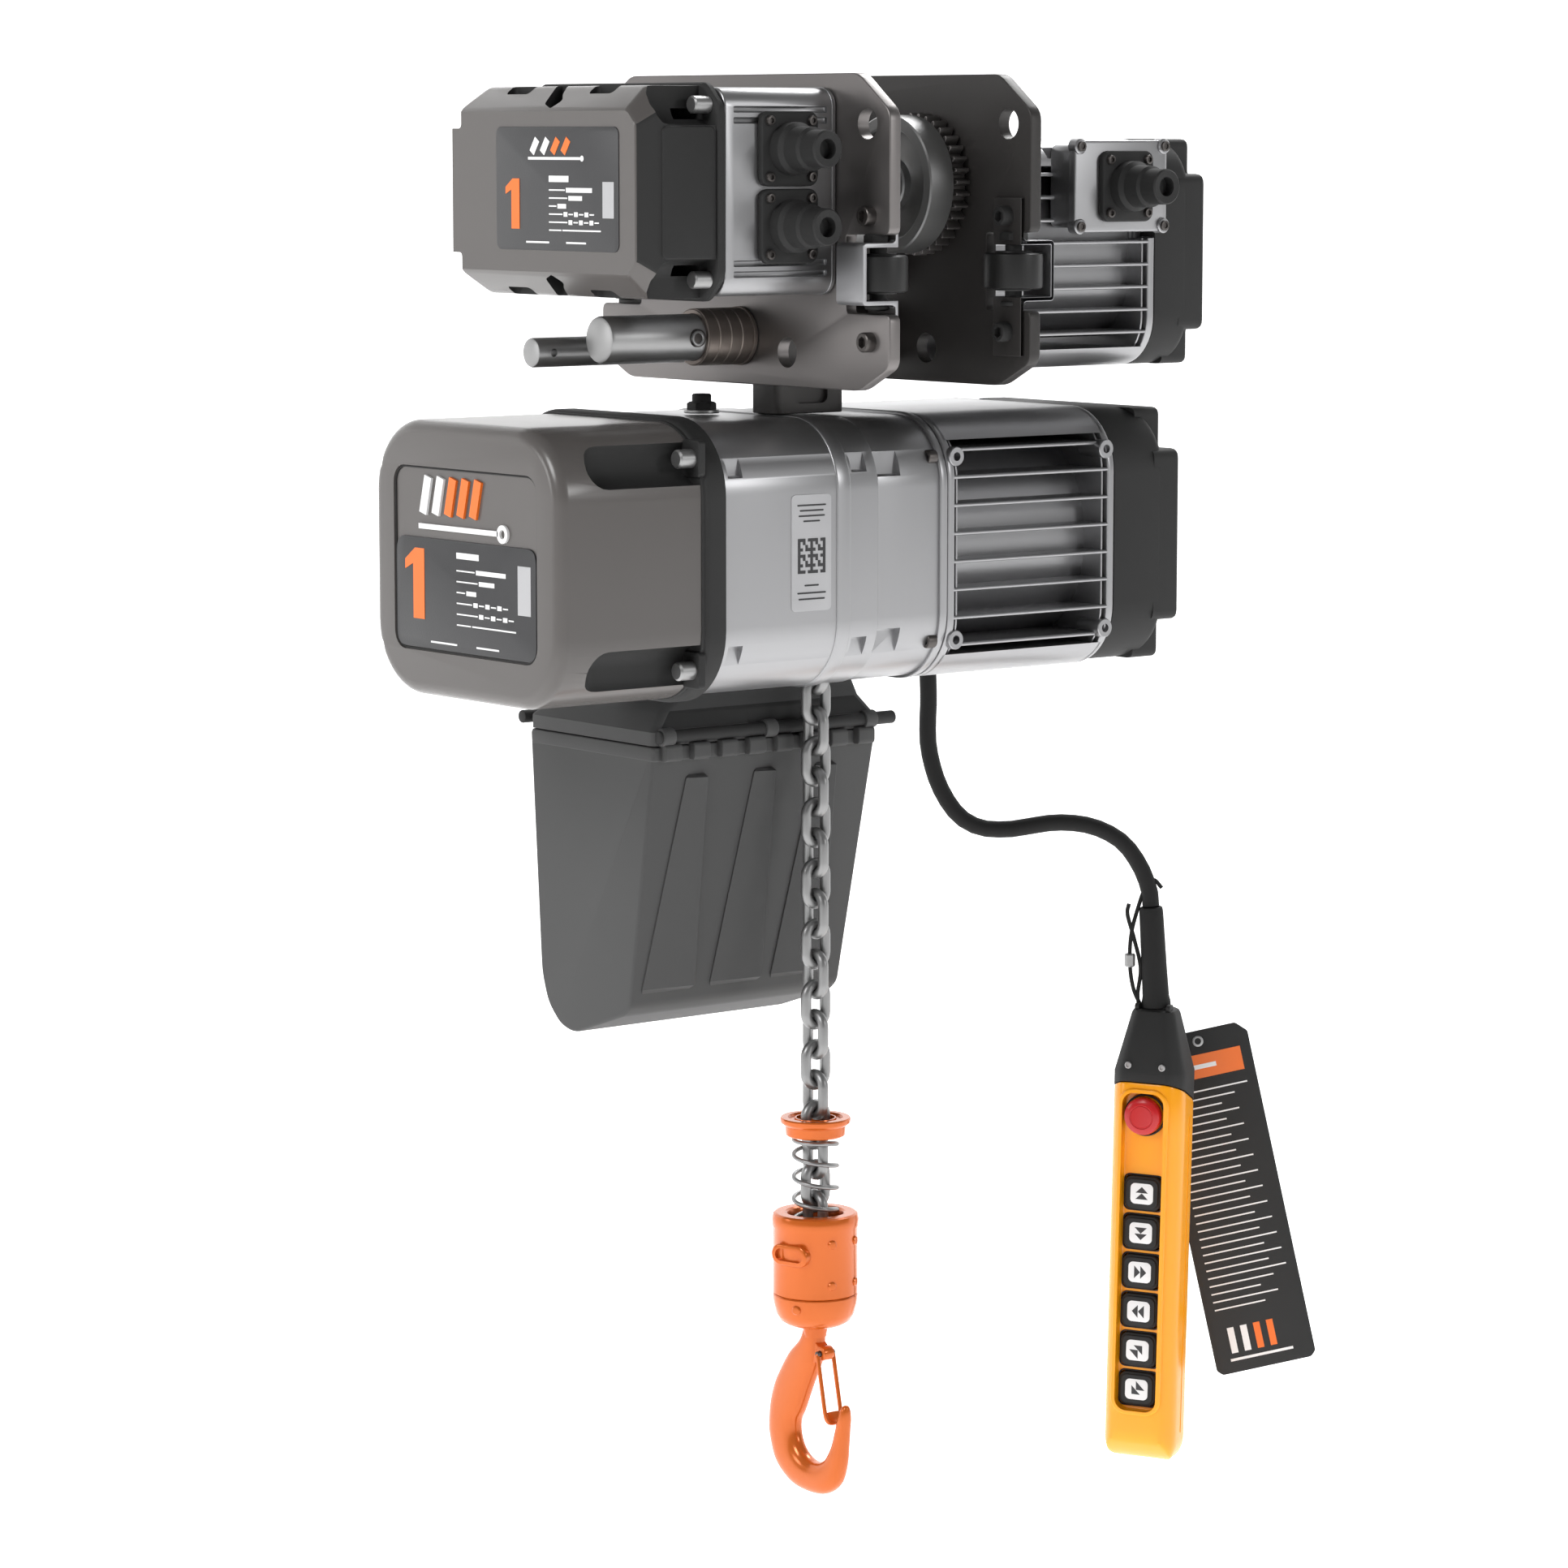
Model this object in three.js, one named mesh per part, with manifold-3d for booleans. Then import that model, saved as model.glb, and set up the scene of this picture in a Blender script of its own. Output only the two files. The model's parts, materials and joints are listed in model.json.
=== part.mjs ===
// Electric chain hoist on a motor-driven beam trolley, with its pendant control.
// Millimetres, +Z up. The origin is midway between the trolley's side plates, on the level of the
// beam flange that the wheels roll on. The hoist's long axis is X, the beam runs along Y, and the
// load chain hangs on the Z axis.

import * as THREE from 'three';
import { mergeVertices } from 'three/addons/utils/BufferGeometryUtils.js';
import Module from 'manifold-3d';

const wasm = await Module();
wasm.setup();

// ---------------------------------------------------------------- driving dimensions

const FIT = 0.3; // gap left between neighbouring pieces

// trolley
const PLATE_GAP = 110; // between the inner faces of the side plates
const PLATE_THICK = 9;
const PLATE_IN = PLATE_GAP / 2;
const PLATE_OUT = PLATE_IN + PLATE_THICK;
const WHEEL_R = 46; // tread radius
const WHEEL_Y = 50; // wheel axle, either side of the middle
const WHEEL_BORE = 9.5;
const GEAR_MODULE = 2.5;
const WHEEL_TEETH = 36;
const PINION_TEETH = 18;
const GEAR_CENTRES = (GEAR_MODULE * (WHEEL_TEETH + PINION_TEETH)) / 2;
const DRIVE_Z = WHEEL_R - Math.sqrt(GEAR_CENTRES ** 2 - WHEEL_Y ** 2); // trolley motor axis
const ROLLER_R = 19.5;
const ROLLER_X = PLATE_IN + 2.5;
const ROLLER_Y = 137;
const ROLLER_LOW = -23;
const ROLLER_HIGH = 3;
const SHAFT_Z = -54; // suspension shaft
const SHAFT_R = 15.5;
const SHAFT_SIDES = 20; // facets of the shaft and of everything bored for it
const TIE_Y = 50;
const TIE_Z = -63.5;
const TIE_R = 9.8;

// trolley control box and motor
const BOX_HALF = 102; // half its width along Y
const BOX_LOW = -24;
const BOX_HIGH = 109;
const BOX_SPLIT = -155.5; // joint between base and cover
const BOX_END = -226;
const DRIVE_END = 285; // outer end of the trolley motor's fan cover
const DRIVE_FROM = 80; // its casing starts behind a round spigot, clear of the shafts
const DRIVE_SPLIT = 238;
const DRIVE_HALF = 76;
const DRIVE_LOW = -80; // underside of the trolley motor, whose section isn't centred on its axis

// hoist body
const BODY_Y = 33; // axis of the motor and the load sheave
const BODY_Z = -198;
const BODY_W = 213;
const BODY_H = 182;
const BODY_R = 48; // corner radius of the body's section
const COVER_END = -266;
const FLANGE_FROM = -150;
const CASING_FROM = -134;
const CASING_TO = -4.5;
const MOTOR_FROM = 55.5;
const MOTOR_TO = 205;
const FAN_END = 266;
const WALL = 6;

// lifting gear inside the body
const GEAR_Y = BODY_Y + 50; // reduction gear axis
const SHEAVE_R = 33.4; // pitch radius of the load sheave
const ROTOR_SHAFT_R = 7.5;

// chain, hook block and hook
const LINK_WIRE = 7.3;
const LINK_PITCH = 21;
const LINK_WIDTH = 24;
const LINK_COUNT = 23;
const CHAIN_TOP = -205;
const CUP_TOP = -591.5;
const CUP_BOTTOM = -604.5;
const BLOCK_TOP = -658;
const BLOCK_SPLIT = -715;
const BLOCK_BOTTOM = -737;
const BLOCK_R = 29.3;
const BOWL_Y = -1; // centre of the hook's bowl
const BOWL_Z = -815;
const BOWL_R = 20;
const HOOK_THICK = 16;
const LATCH_Y = -11;
const LATCH_Z = -756;

// chain bucket
const BUCKET_X = [-121, 71];
const BUCKET_Y = [22, 166];
const BUCKET_TOP = -329;
const BUCKET_WALL = 2.5;

// pendant control and its cable
const CABLE_R = 5;
const COIL = { x: 163, z: BODY_Z, low: 143.5, high: 163.5, inner: 40, outer: 70 };
const PENDANT_AT = [364.2, 53.5, -562.5]; // top of the pendant's head
const PENDANT_YAW = -60;
const PENDANT_TILT = 1.1;
const SLEEVE_TILT = -3.6; // the cable's sleeve leans the other way
const SLEEVE_LENGTH = 76;
const HEAD_H = 52;
const HOUSING_BOTTOM = -341;
const BUTTON_FIRST = -136;
const BUTTON_PITCH = 29.7;
const STOP_AT = -77;
const BUTTON_COUNT = 6;

// ---------------------------------------------------------------- materials

function paint(colour, roughness, metalness) {
  return new THREE.MeshStandardMaterial({ color: colour, roughness, metalness });
}

const darkPaint = paint(0x4a4847, 0.5, 0.2);
const blackPlastic = paint(0x161616, 0.45, 0);
const castAluminium = paint(0x8c8d8f, 0.45, 0.8);
const plateSteel = paint(0x6b6967, 0.5, 0.7);
const groundSteel = paint(0xc9c8c6, 0.25, 1);
const darkSteel = paint(0x3d3b3a, 0.4, 0.8);
const rollerSteel = paint(0x1b1b1c, 0.5, 0.3);
const bracketSteel = paint(0x9a9b9c, 0.4, 0.8);
const bucketPlastic = paint(0x3f3f40, 0.6, 0);
const chainSteel = paint(0x8a8a8a, 0.25, 1);
const orangePaint = paint(0xd0641b, 0.35, 0.1);
const yellowPlastic = paint(0xffa806, 0.35, 0);
const redPlastic = paint(0xc41d22, 0.4, 0);
const cableRubber = paint(0x0b0b0b, 0.5, 0);
const cardPlastic = paint(0x232224, 0.45, 0);
const copperSteel = paint(0x77716c, 0.4, 0.8);

// ---------------------------------------------------------------- solids

function solidOf(geometry) {
  const source = geometry.index ? geometry.toNonIndexed() : geometry;
  const bare = new THREE.BufferGeometry();
  bare.setAttribute('position', source.getAttribute('position'));
  const merged = mergeVertices(bare, 1e-3);
  return new wasm.Manifold(
    new wasm.Mesh({
      numProp: 3,
      vertProperties: merged.attributes.position.array,
      triVerts: new Uint32Array(merged.index.array),
    }),
  );
}

function geometryOf(solid) {
  const mesh = solid.getMesh();
  const geometry = new THREE.BufferGeometry();
  geometry.setAttribute('position', new THREE.BufferAttribute(mesh.vertProperties, 3));
  geometry.setIndex(new THREE.BufferAttribute(mesh.triVerts, 1));
  return geometry;
}

const UNIT = {
  x: new THREE.Vector3(1, 0, 0),
  y: new THREE.Vector3(0, 1, 0),
  z: new THREE.Vector3(0, 0, 1),
};

// Turns a shape drawn in XY and extruded along Z, so that it is extruded along another axis.
// The outline's two coordinates are then (Y, Z) for axis x, (Z, X) for axis y and (X, Y) for z.
const EXTRUDE_TURN = {
  x: new THREE.Matrix4().makeBasis(UNIT.y, UNIT.z, UNIT.x),
  y: new THREE.Matrix4().makeBasis(UNIT.z, UNIT.x, UNIT.y),
  z: new THREE.Matrix4(),
};

// Turns a lathe or cylinder, whose axis is Y, to another axis.
const LATHE_TURN = {
  x: new THREE.Matrix4().makeBasis(UNIT.z, UNIT.x, UNIT.y),
  y: new THREE.Matrix4(),
  z: new THREE.Matrix4().makeBasis(UNIT.y, UNIT.z, UNIT.x),
};

// Places a turned shape at (a, b), in the same two coordinates as an outline's.
function shiftAcross(axis, at) {
  const [a, b] = at;
  if (axis === 'x') return [0, a, b];
  if (axis === 'y') return [b, 0, a];
  return [a, b, 0];
}

function block(x, y, z) {
  const geometry = new THREE.BoxGeometry(x[1] - x[0], y[1] - y[0], z[1] - z[0]);
  geometry.translate((x[0] + x[1]) / 2, (y[0] + y[1]) / 2, (z[0] + z[1]) / 2);
  return solidOf(geometry);
}

function prism(axis, outline, from, to) {
  const shape = new THREE.Shape(outline.map(([a, b]) => new THREE.Vector2(a, b)));
  const geometry = new THREE.ExtrudeGeometry(shape, { depth: to - from, bevelEnabled: false });
  geometry.translate(0, 0, from);
  geometry.applyMatrix4(EXTRUDE_TURN[axis]);
  return solidOf(geometry);
}

function lathe(axis, profile, at = [0, 0], sides = 20) {
  const turned = THREE.ShapeUtils.area(profile.map(([r, h]) => ({ x: r, y: h }))) < 0;
  const points = profile.map(([r, h]) => new THREE.Vector2(r, h));
  if (turned) points.reverse();
  if (points[0].x > 0 || points.at(-1).x > 0) points.push(points[0].clone());
  const geometry = new THREE.LatheGeometry(points, sides);
  geometry.applyMatrix4(LATHE_TURN[axis]);
  geometry.translate(...shiftAcross(axis, at));
  return solidOf(geometry);
}

function rod(axis, radius, from, to, at = [0, 0], sides = 16) {
  const geometry = new THREE.CylinderGeometry(radius, radius, to - from, sides);
  geometry.translate(0, (from + to) / 2, 0);
  geometry.applyMatrix4(LATHE_TURN[axis]);
  geometry.translate(...shiftAcross(axis, at));
  return solidOf(geometry);
}

function tube(axis, radius, bore, from, to, at = [0, 0], sides = 18) {
  const profile = [[bore, from], [radius, from], [radius, to], [bore, to]];
  return lathe(axis, profile, at, sides);
}

// A tapered square frustum along Z between two rectangles, each given as { x, y, z }.
function hopper(low, high) {
  const corners = (r) => [
    [r.x[0], r.y[0]], [r.x[1], r.y[0]], [r.x[1], r.y[1]], [r.x[0], r.y[1]],
  ];
  const geometry = new THREE.BoxGeometry(1, 1, 1);
  const position = geometry.getAttribute('position');
  const pick = (v) => (v > 0 ? 1 : 0);
  for (let i = 0; i < position.count; i += 1) {
    const end = position.getZ(i) > 0 ? high : low;
    const [x, y] = [end.x[pick(position.getX(i))], end.y[pick(position.getY(i))]];
    position.setXYZ(i, x, y, end.z);
  }
  if (corners(low).length !== corners(high).length) throw new Error('unequal rectangles');
  return solidOf(geometry);
}

const join = (first, ...rest) => rest.reduce((whole, piece) => whole.add(piece), first);
const cut = (first, ...rest) => rest.reduce((whole, tool) => whole.subtract(tool), first);

// Outline of a rectangle with round corners, as points anticlockwise.
function roundedRect(width, height, radius, centre = [0, 0], steps = 3) {
  const points = [];
  const corners = [[1, -1, -90], [1, 1, 0], [-1, 1, 90], [-1, -1, 180]];
  for (const [sx, sy, start] of corners) {
    const cx = centre[0] + sx * (width / 2 - radius);
    const cy = centre[1] + sy * (height / 2 - radius);
    for (let i = 0; i <= steps; i += 1) {
      const angle = THREE.MathUtils.degToRad(start + (90 * i) / steps);
      points.push([cx + radius * Math.cos(angle), cy + radius * Math.sin(angle)]);
    }
  }
  return points;
}

// Outline of a spur gear. Each flank is the straight chord of its involute, so that it stays
// inside the true tooth. phase is the angle of one tooth's middle.
function gearOutline({ teeth, module, pressure, addendum, dedendum, backlash, phase, at }) {
  const pitch = (teeth * module) / 2;
  const pressureAngle = THREE.MathUtils.degToRad(pressure);
  const base = pitch * Math.cos(pressureAngle);
  const tip = pitch + addendum * module;
  const root = pitch - dedendum * module;
  const involute = (angle) => Math.tan(angle) - angle;
  const halfTooth = (radius) =>
    Math.PI / (2 * teeth) - backlash / (2 * pitch) + involute(pressureAngle)
    - involute(Math.acos(Math.min(1, base / radius)));
  const rootHalf = halfTooth(Math.max(root, base));
  const tipHalf = halfTooth(tip);
  const points = [];
  for (let i = 0; i < teeth; i += 1) {
    const middle = phase + (2 * Math.PI * i) / teeth;
    const corners = [[root, -rootHalf], [tip, -tipHalf], [tip, tipHalf], [root, rootHalf]];
    for (const [radius, offset] of corners) {
      const angle = middle + offset;
      points.push([at[0] + radius * Math.cos(angle), at[1] + radius * Math.sin(angle)]);
    }
  }
  return points;
}

// A round or polygonal section carried along a smooth curve through the given points.
function alongCurve(points, radius, sides, steps) {
  const curve = new THREE.CatmullRomCurve3(points.map((p) => new THREE.Vector3(...p)), false, 'centripetal');
  const section = new THREE.Shape();
  for (let i = 0; i < sides; i += 1) {
    const angle = (2 * Math.PI * i) / sides;
    const corner = [radius * Math.cos(angle), radius * Math.sin(angle)];
    if (i === 0) section.moveTo(...corner);
    else section.lineTo(...corner);
  }
  return new THREE.ExtrudeGeometry(section, { steps, extrudePath: curve, bevelEnabled: false });
}

const group = new THREE.Group();

function add(name, solid, material, parent = group) {
  const mesh = new THREE.Mesh(solid.isBufferGeometry ? solid : geometryOf(solid), material);
  mesh.name = name;
  parent.add(mesh);
}

// ---------------------------------------------------------------- trolley frame

const sides = [['near', -1], ['far', 1]]; // near is -X, far is +X
const ends = [['front', -1], ['rear', 1]]; // front is -Y, rear is +Y

function sidePlate(side) {
  const outline = [
    [-157, -70], [-125, -86], [125, -86], [157, -70],
    [157, -36], [112, -36], [112, 15], [157, 15], [157, 94], [124, 118.5],
    [-124, 118.5], [-157, 94], [-157, 15], [-112, 15], [-112, -36], [-157, -36],
  ];
  const from = side < 0 ? -PLATE_OUT : PLATE_IN;
  const to = side < 0 ? -PLATE_IN : PLATE_OUT;
  const [low, high] = [from - 1, to + 1];
  const plate = cut(
    prism('x', outline, from, to),
    rod('x', SHAFT_R + FIT, low, high, [0, SHAFT_Z], SHAFT_SIDES),
    ...[-1, 1].map((s) => rod('x', TIE_R + FIT, low, high, [s * TIE_Y, TIE_Z], 20)),
    ...[-1, 1].map((s) => rod('x', 10, low, high, [s * 134, 86], 12)),
  );
  const axles = ends.map(([, end]) => {
    const reach = side < 0 ? [-PLATE_IN - 2, -18] : [18, PLATE_IN + 2];
    return rod('x', WHEEL_BORE - 0.4, ...reach, [end * WHEEL_Y, WHEEL_R], 20);
  });
  const drilled = side < 0 ? plate : cut(plate, rod('x', 9, low, high, [0, DRIVE_Z], 20));
  return join(drilled, ...axles);
}

for (const [name, side] of sides) add(`${name}_side_plate`, sidePlate(side), plateSteel);

function suspensionShaft() {
  return cut(
    join(
      rod('x', SHAFT_R, -181, 78, [0, SHAFT_Z], SHAFT_SIDES),
      rod('y', 6, -17.5, 17.5, [SHAFT_Z, -112], 12),
    ),
    rod('z', 2.6, SHAFT_Z - 20, SHAFT_Z + 20, [72, 0], 10),
  );
}

function tieShaft() {
  const at = [TIE_Y, TIE_Z];
  return cut(rod('x', TIE_R, -200, 76, at, 24), rod('y', 2.7, TIE_Y - 12, TIE_Y + 12, [TIE_Z, -188], 10));
}

// Stack of washers that takes up the shaft outside the near plate, with a fine groove at each joint.
function outerSpacers() {
  const profile = [[SHAFT_R + FIT, -PLATE_OUT - FIT], [19.6, -PLATE_OUT - FIT], [19.6, -67.5]];
  const ring = 9.3;
  for (let i = 0; i < 4; i += 1) {
    const start = -67.5 - i * ring;
    profile.push([18.3, start], [19, start - 1], [19, start - ring + 1]);
  }
  profile.push([18.3, -67.5 - 4 * ring], [SHAFT_R + FIT, -67.5 - 4 * ring]);
  return lathe('x', profile, [0, SHAFT_Z], SHAFT_SIDES);
}

add('suspension_shaft', suspensionShaft(), groundSteel);
add('tie_shaft', tieShaft(), groundSteel);
add('outer_spacers', outerSpacers(), copperSteel);
add('inner_spacer', tube('x', 21, SHAFT_R + FIT, 8.3, PLATE_IN - FIT, [0, SHAFT_Z], SHAFT_SIDES), darkSteel);

// ---------------------------------------------------------------- wheels and rollers

const trolleyGear = { module: GEAR_MODULE, pressure: 20, addendum: 1, dedendum: 1.25, backlash: 0.5 };
const lineAngle = Math.atan2(WHEEL_R - DRIVE_Z, -WHEEL_Y); // from the pinion to the front wheel
const pinionPitch = (2 * Math.PI) / PINION_TEETH;

// The wheel's tooth or the pinion's gap that lies on the line of centres. The rear wheel meets the
// pinion where a gap is a little off that line, so its own teeth are turned to suit.
function wheelPhase(end) {
  if (end < 0) return lineAngle + Math.PI;
  const rearLine = Math.PI - lineAngle;
  const gap = lineAngle - 5 * pinionPitch;
  return rearLine + Math.PI - ((gap - rearLine) * PINION_TEETH) / WHEEL_TEETH;
}

// Rim, web and hub of a trolley wheel as a lathe profile; x grows towards the side plate.
function wheelProfile(inner, tread, outer, lip) {
  return [
    [WHEEL_BORE, inner + 2], [17, inner + 2], [17, inner + 7], [37, inner + 7], [37, inner],
    [WHEEL_R, inner], [WHEEL_R, tread], [lip, tread], [lip, outer], [WHEEL_BORE, outer],
  ];
}

function driveWheel(end) {
  const at = [end * WHEEL_Y, WHEEL_R];
  const teeth = gearOutline({ ...trolleyGear, teeth: WHEEL_TEETH, phase: wheelPhase(end), at });
  const body = lathe('x', wheelProfile(20.5, 40.5, 44, 41), at, 24);
  return join(body, cut(prism('x', teeth, 42, 53.5), rod('x', WHEEL_BORE, 41, 55, at)));
}

function idlerWheel(end) {
  const mirrored = wheelProfile(20.5, 41, 53.5, 48).map(([r, x]) => [r, -x]);
  return lathe('x', mirrored, [end * WHEEL_Y, WHEEL_R], 24);
}

function trolleyPinion() {
  const at = [0, DRIVE_Z];
  const phase = lineAngle + pinionPitch / 2;
  const teeth = gearOutline({ ...trolleyGear, teeth: PINION_TEETH, phase, at });
  return join(prism('x', teeth, 42.5, 53), rod('x', 8, 42.5, 96, at, 20));
}

for (const [name, end] of ends) {
  add(`drive_wheel_${name}`, driveWheel(end), plateSteel);
  add(`idler_wheel_${name}`, idlerWheel(end), plateSteel);
}
add('trolley_pinion', trolleyPinion(), darkSteel);

function guideRoller(side, end) {
  return tube('z', ROLLER_R, 6, ROLLER_LOW, ROLLER_HIGH, [side * ROLLER_X, end * ROLLER_Y]);
}

// A bent strip that passes through the plate's notch, is bolted inside the plate above and below
// it, and carries the roller's pin.
function rollerBracket(side, end) {
  const thick = 3;
  const [web, face] = [81, PLATE_IN - FIT]; // distances from the middle plane
  const y = end < 0 ? [-151, -123] : [123, 151];
  const x = (a, b) => (side < 0 ? [-b, -a] : [a, b]);
  const [shelfLow, shelfHigh] = [ROLLER_LOW - 4, ROLLER_HIGH + 4];
  return join(
    block(x(web - thick, web), y, [shelfLow - thick, shelfHigh + thick]),
    block(x(face - thick, web), y, [shelfHigh, shelfHigh + thick]),
    block(x(face - thick, web), y, [shelfLow - thick, shelfLow]),
    block(x(face - thick, face), y, [shelfHigh, 38]),
    block(x(face - thick, face), y, [-66, shelfLow]),
    rod('z', 5.6, shelfLow - thick - 4, shelfHigh + thick + 5, [side * ROLLER_X, end * ROLLER_Y], 12),
  );
}

for (const [sideName, side] of sides) {
  for (const [endName, end] of ends) {
    add(`guide_roller_${sideName}_${endName}`, guideRoller(side, end), rollerSteel);
    add(`roller_bracket_${sideName}_${endName}`, rollerBracket(side, end), bracketSteel);
  }
}

// ---------------------------------------------------------------- trolley control box

const boxMiddle = (BOX_LOW + BOX_HIGH) / 2;
const boxHeight = BOX_HIGH - BOX_LOW;

// Rectangle with straight chamfered corners, in (Y, Z).
function chamferedRect(half, low, high, chamfer, y = 0) {
  return [
    [y - half + chamfer, low], [y + half - chamfer, low], [y + half, low + chamfer],
    [y + half, high - chamfer], [y + half - chamfer, high], [y - half + chamfer, high],
    [y - half, high - chamfer], [y - half, low + chamfer],
  ];
}

function trolleyControlBase() {
  const outer = prism('x', roundedRect(2 * BOX_HALF, boxHeight, 12, [0, boxMiddle], 4), BOX_SPLIT + FIT, -PLATE_OUT - FIT);
  const hollow = roundedRect(2 * BOX_HALF - 10, boxHeight - 10, 9, [0, boxMiddle], 3);
  const grooves = [BOX_HIGH - 14, BOX_LOW + 14].map((z) => {
    const low = z > boxMiddle ? z : z - 5;
    return block([BOX_SPLIT + 20, -PLATE_OUT - 8], [-BOX_HALF - 1, -BOX_HALF + 2.5], [low, low + 5]);
  });
  return cut(outer, prism('x', hollow, BOX_SPLIT - 1, -PLATE_OUT - 8), ...grooves);
}

function trolleyControlCover() {
  const shell = prism('x', chamferedRect(BOX_HALF + 1, BOX_LOW - 1, BOX_HIGH + 1, 20), BOX_END, BOX_SPLIT);
  const hollow = chamferedRect(BOX_HALF - 4, BOX_LOW + 4, BOX_HIGH - 4, 17);
  const scoops = ends.flatMap(([, end]) => [BOX_LOW - 1, BOX_HIGH + 1].map((z) => {
    const y = end < 0 ? [-BOX_HALF - 2, -BOX_HALF + 11] : [BOX_HALF - 11, BOX_HALF + 2];
    const height = z < boxMiddle ? [z - 1, z + 26] : [z - 26, z + 1];
    return block([BOX_END + 22, BOX_SPLIT - 6], y, height);
  }));
  return join(
    cut(shell, ...scoops, prism('x', hollow, BOX_END + 40, BOX_SPLIT + 1)),
  );
}

// Square flange with a round nozzle and a bore for the cable; it points along -Y from y.
function cableGland(x, y, z) {
  const flange = roundedRect(46, 48, 6, [z, x], 1);
  const profile = [
    [6.5, y - 44], [11, y - 44], [12.5, y - 42], [12.5, y - 25], [17, y - 22], [17, y - 6], [6.5, y - 6],
  ];
  return join(
    cut(prism('y', flange, y - 7, y), rod('y', 6.5, y - 8, y + 1, [z, x], 14)),
    lathe('y', profile, [z, x], 14),
  );
}

add('trolley_control_base', trolleyControlBase(), castAluminium);
add('trolley_control_cover', trolleyControlCover(), darkPaint);
add('power_gland_upper', cableGland(-106, -BOX_HALF - FIT, 70), blackPlastic);
add('power_gland_lower', cableGland(-106, -BOX_HALF - FIT, 20.5), blackPlastic);

// ---------------------------------------------------------------- trolley motor

const driveSize = 2 * DRIVE_HALF;
const driveHeight = DRIVE_HALF - DRIVE_LOW;
const driveMiddle = (DRIVE_HALF + DRIVE_LOW) / 2;

// Round-cornered barrel with level cooling fins, between two full-section end rings.
function finnedBarrel({ from, to, y, z, width, height, radius, core, fins, bore }) {
  const outline = roundedRect(width, height, radius, [y, z], 4);
  const ring = 5;
  const comb = fins.map((offset) => {
    return block([from, to], [y - width / 2 - 1, y + width / 2 + 1], [z + offset - 1.3, z + offset + 1.3]);
  });
  const posts = [-1, 1].flatMap((s) => [-0.2, 0.2].map((share) => {
    const middle = y + share * core[0];
    const depth = s < 0 ? [z - height / 2 - 1, z] : [z, z + height / 2 + 1];
    return block([from, to], [middle - 1.3, middle + 1.3], depth);
  }));
  const middle = join(
    prism('x', roundedRect(core[0], core[1], core[2], [y, z], 3), from, to),
    ...comb,
    ...posts,
  ).intersect(prism('x', outline, from, to));
  return cut(
    join(middle, prism('x', outline, from, from + ring), prism('x', outline, to - ring, to)),
    rod('x', bore, from - 1, to + 1, [y, z], 20),
  );
}

function trolleyMotorCasing() {
  const barrel = finnedBarrel({
    from: DRIVE_FROM,
    to: DRIVE_SPLIT - FIT,
    y: 0,
    z: driveMiddle,
    width: driveSize,
    height: driveHeight,
    radius: 34,
    core: [118, 118, 40],
    fins: [-54, -32.4, -10.8, 10.8, 32.4, 54],
    bore: 44,
  });
  const seat = block([146, DRIVE_SPLIT + 1], [-DRIVE_HALF - 4, -61], [8, 84]);
  const spigot = tube('x', 37, 8.6, PLATE_OUT + FIT, DRIVE_FROM + 8, [0, DRIVE_Z], 24);
  const end = tube('x', 50, 30, DRIVE_FROM, DRIVE_FROM + 8, [0, DRIVE_Z], 24);
  return join(cut(barrel, seat), spigot, end);
}

// Moulded cap over a motor's fan, open towards the motor. Each corner is stepped in at the outer
// end, and the hollow behind steps in with it.
function fanCover(from, to, centre, size, radius, step) {
  const wall = 4;
  const depth = 14;
  const hollowEnd = to - depth - wall;
  const section = (inset, steps) =>
    roundedRect(size[0] - 2 * inset, size[1] - 2 * inset, radius - inset, centre, steps);
  const shrunk = (cutY, cutZ) =>
    roundedRect(size[0] - 2 * wall - 2 * cutY, size[1] - 2 * wall - 2 * cutZ, 2, centre, 1);
  const corners = [-1, 1].flatMap((sy) => [-1, 1].map((sz) => {
    const y = [centre[0] + sy * (size[0] / 2 - step[0]), centre[0] + sy * (size[0] / 2 + 1)];
    const z = [centre[1] + sz * (size[1] / 2 - step[1]), centre[1] + sz * (size[1] / 2 + 1)];
    const inOrder = (pair) => [Math.min(...pair), Math.max(...pair)];
    return block([to - depth, to + 1], inOrder(y), inOrder(z));
  }));
  return cut(
    prism('x', section(0, 4), from, to),
    prism('x', section(wall, 3), from - 1, hollowEnd),
    prism('x', shrunk(step[0], radius / 3), hollowEnd - 1, to - wall),
    prism('x', shrunk(radius / 3, step[1]), hollowEnd - 1, to - wall),
    ...corners,
  );
}

function trolleyFanCover() {
  const size = [driveSize, driveHeight];
  return fanCover(DRIVE_SPLIT, DRIVE_END, [0, driveMiddle], size, 36, [17, 24]);
}

function terminalBox() {
  const plate = roundedRect(62, 84, 4, [44, 194], 2);
  const body = roundedRect(56, 78, 4, [44, 194], 2);
  const bosses = [-1, 1].flatMap((a) => [-1, 1].map((b) => [44 + a * 27, 194 + b * 38]));
  return cut(
    join(
      prism('y', plate, -90, -84),
      prism('y', body, -84, -61 - FIT),
      ...bosses.map((at) => rod('y', 5, -92, -84, at, 12)),
    ),
    block([165, 223], [-82, -60], [24, 64]),
  );
}

add('trolley_motor_casing', trolleyMotorCasing(), castAluminium);
add('trolley_fan_cover', trolleyFanCover(), blackPlastic);
add('trolley_terminal_box', terminalBox(), castAluminium);
add('terminal_gland', cableGland(196, -90 - FIT, 44), blackPlastic);

// ---------------------------------------------------------------- hoist body

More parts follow.
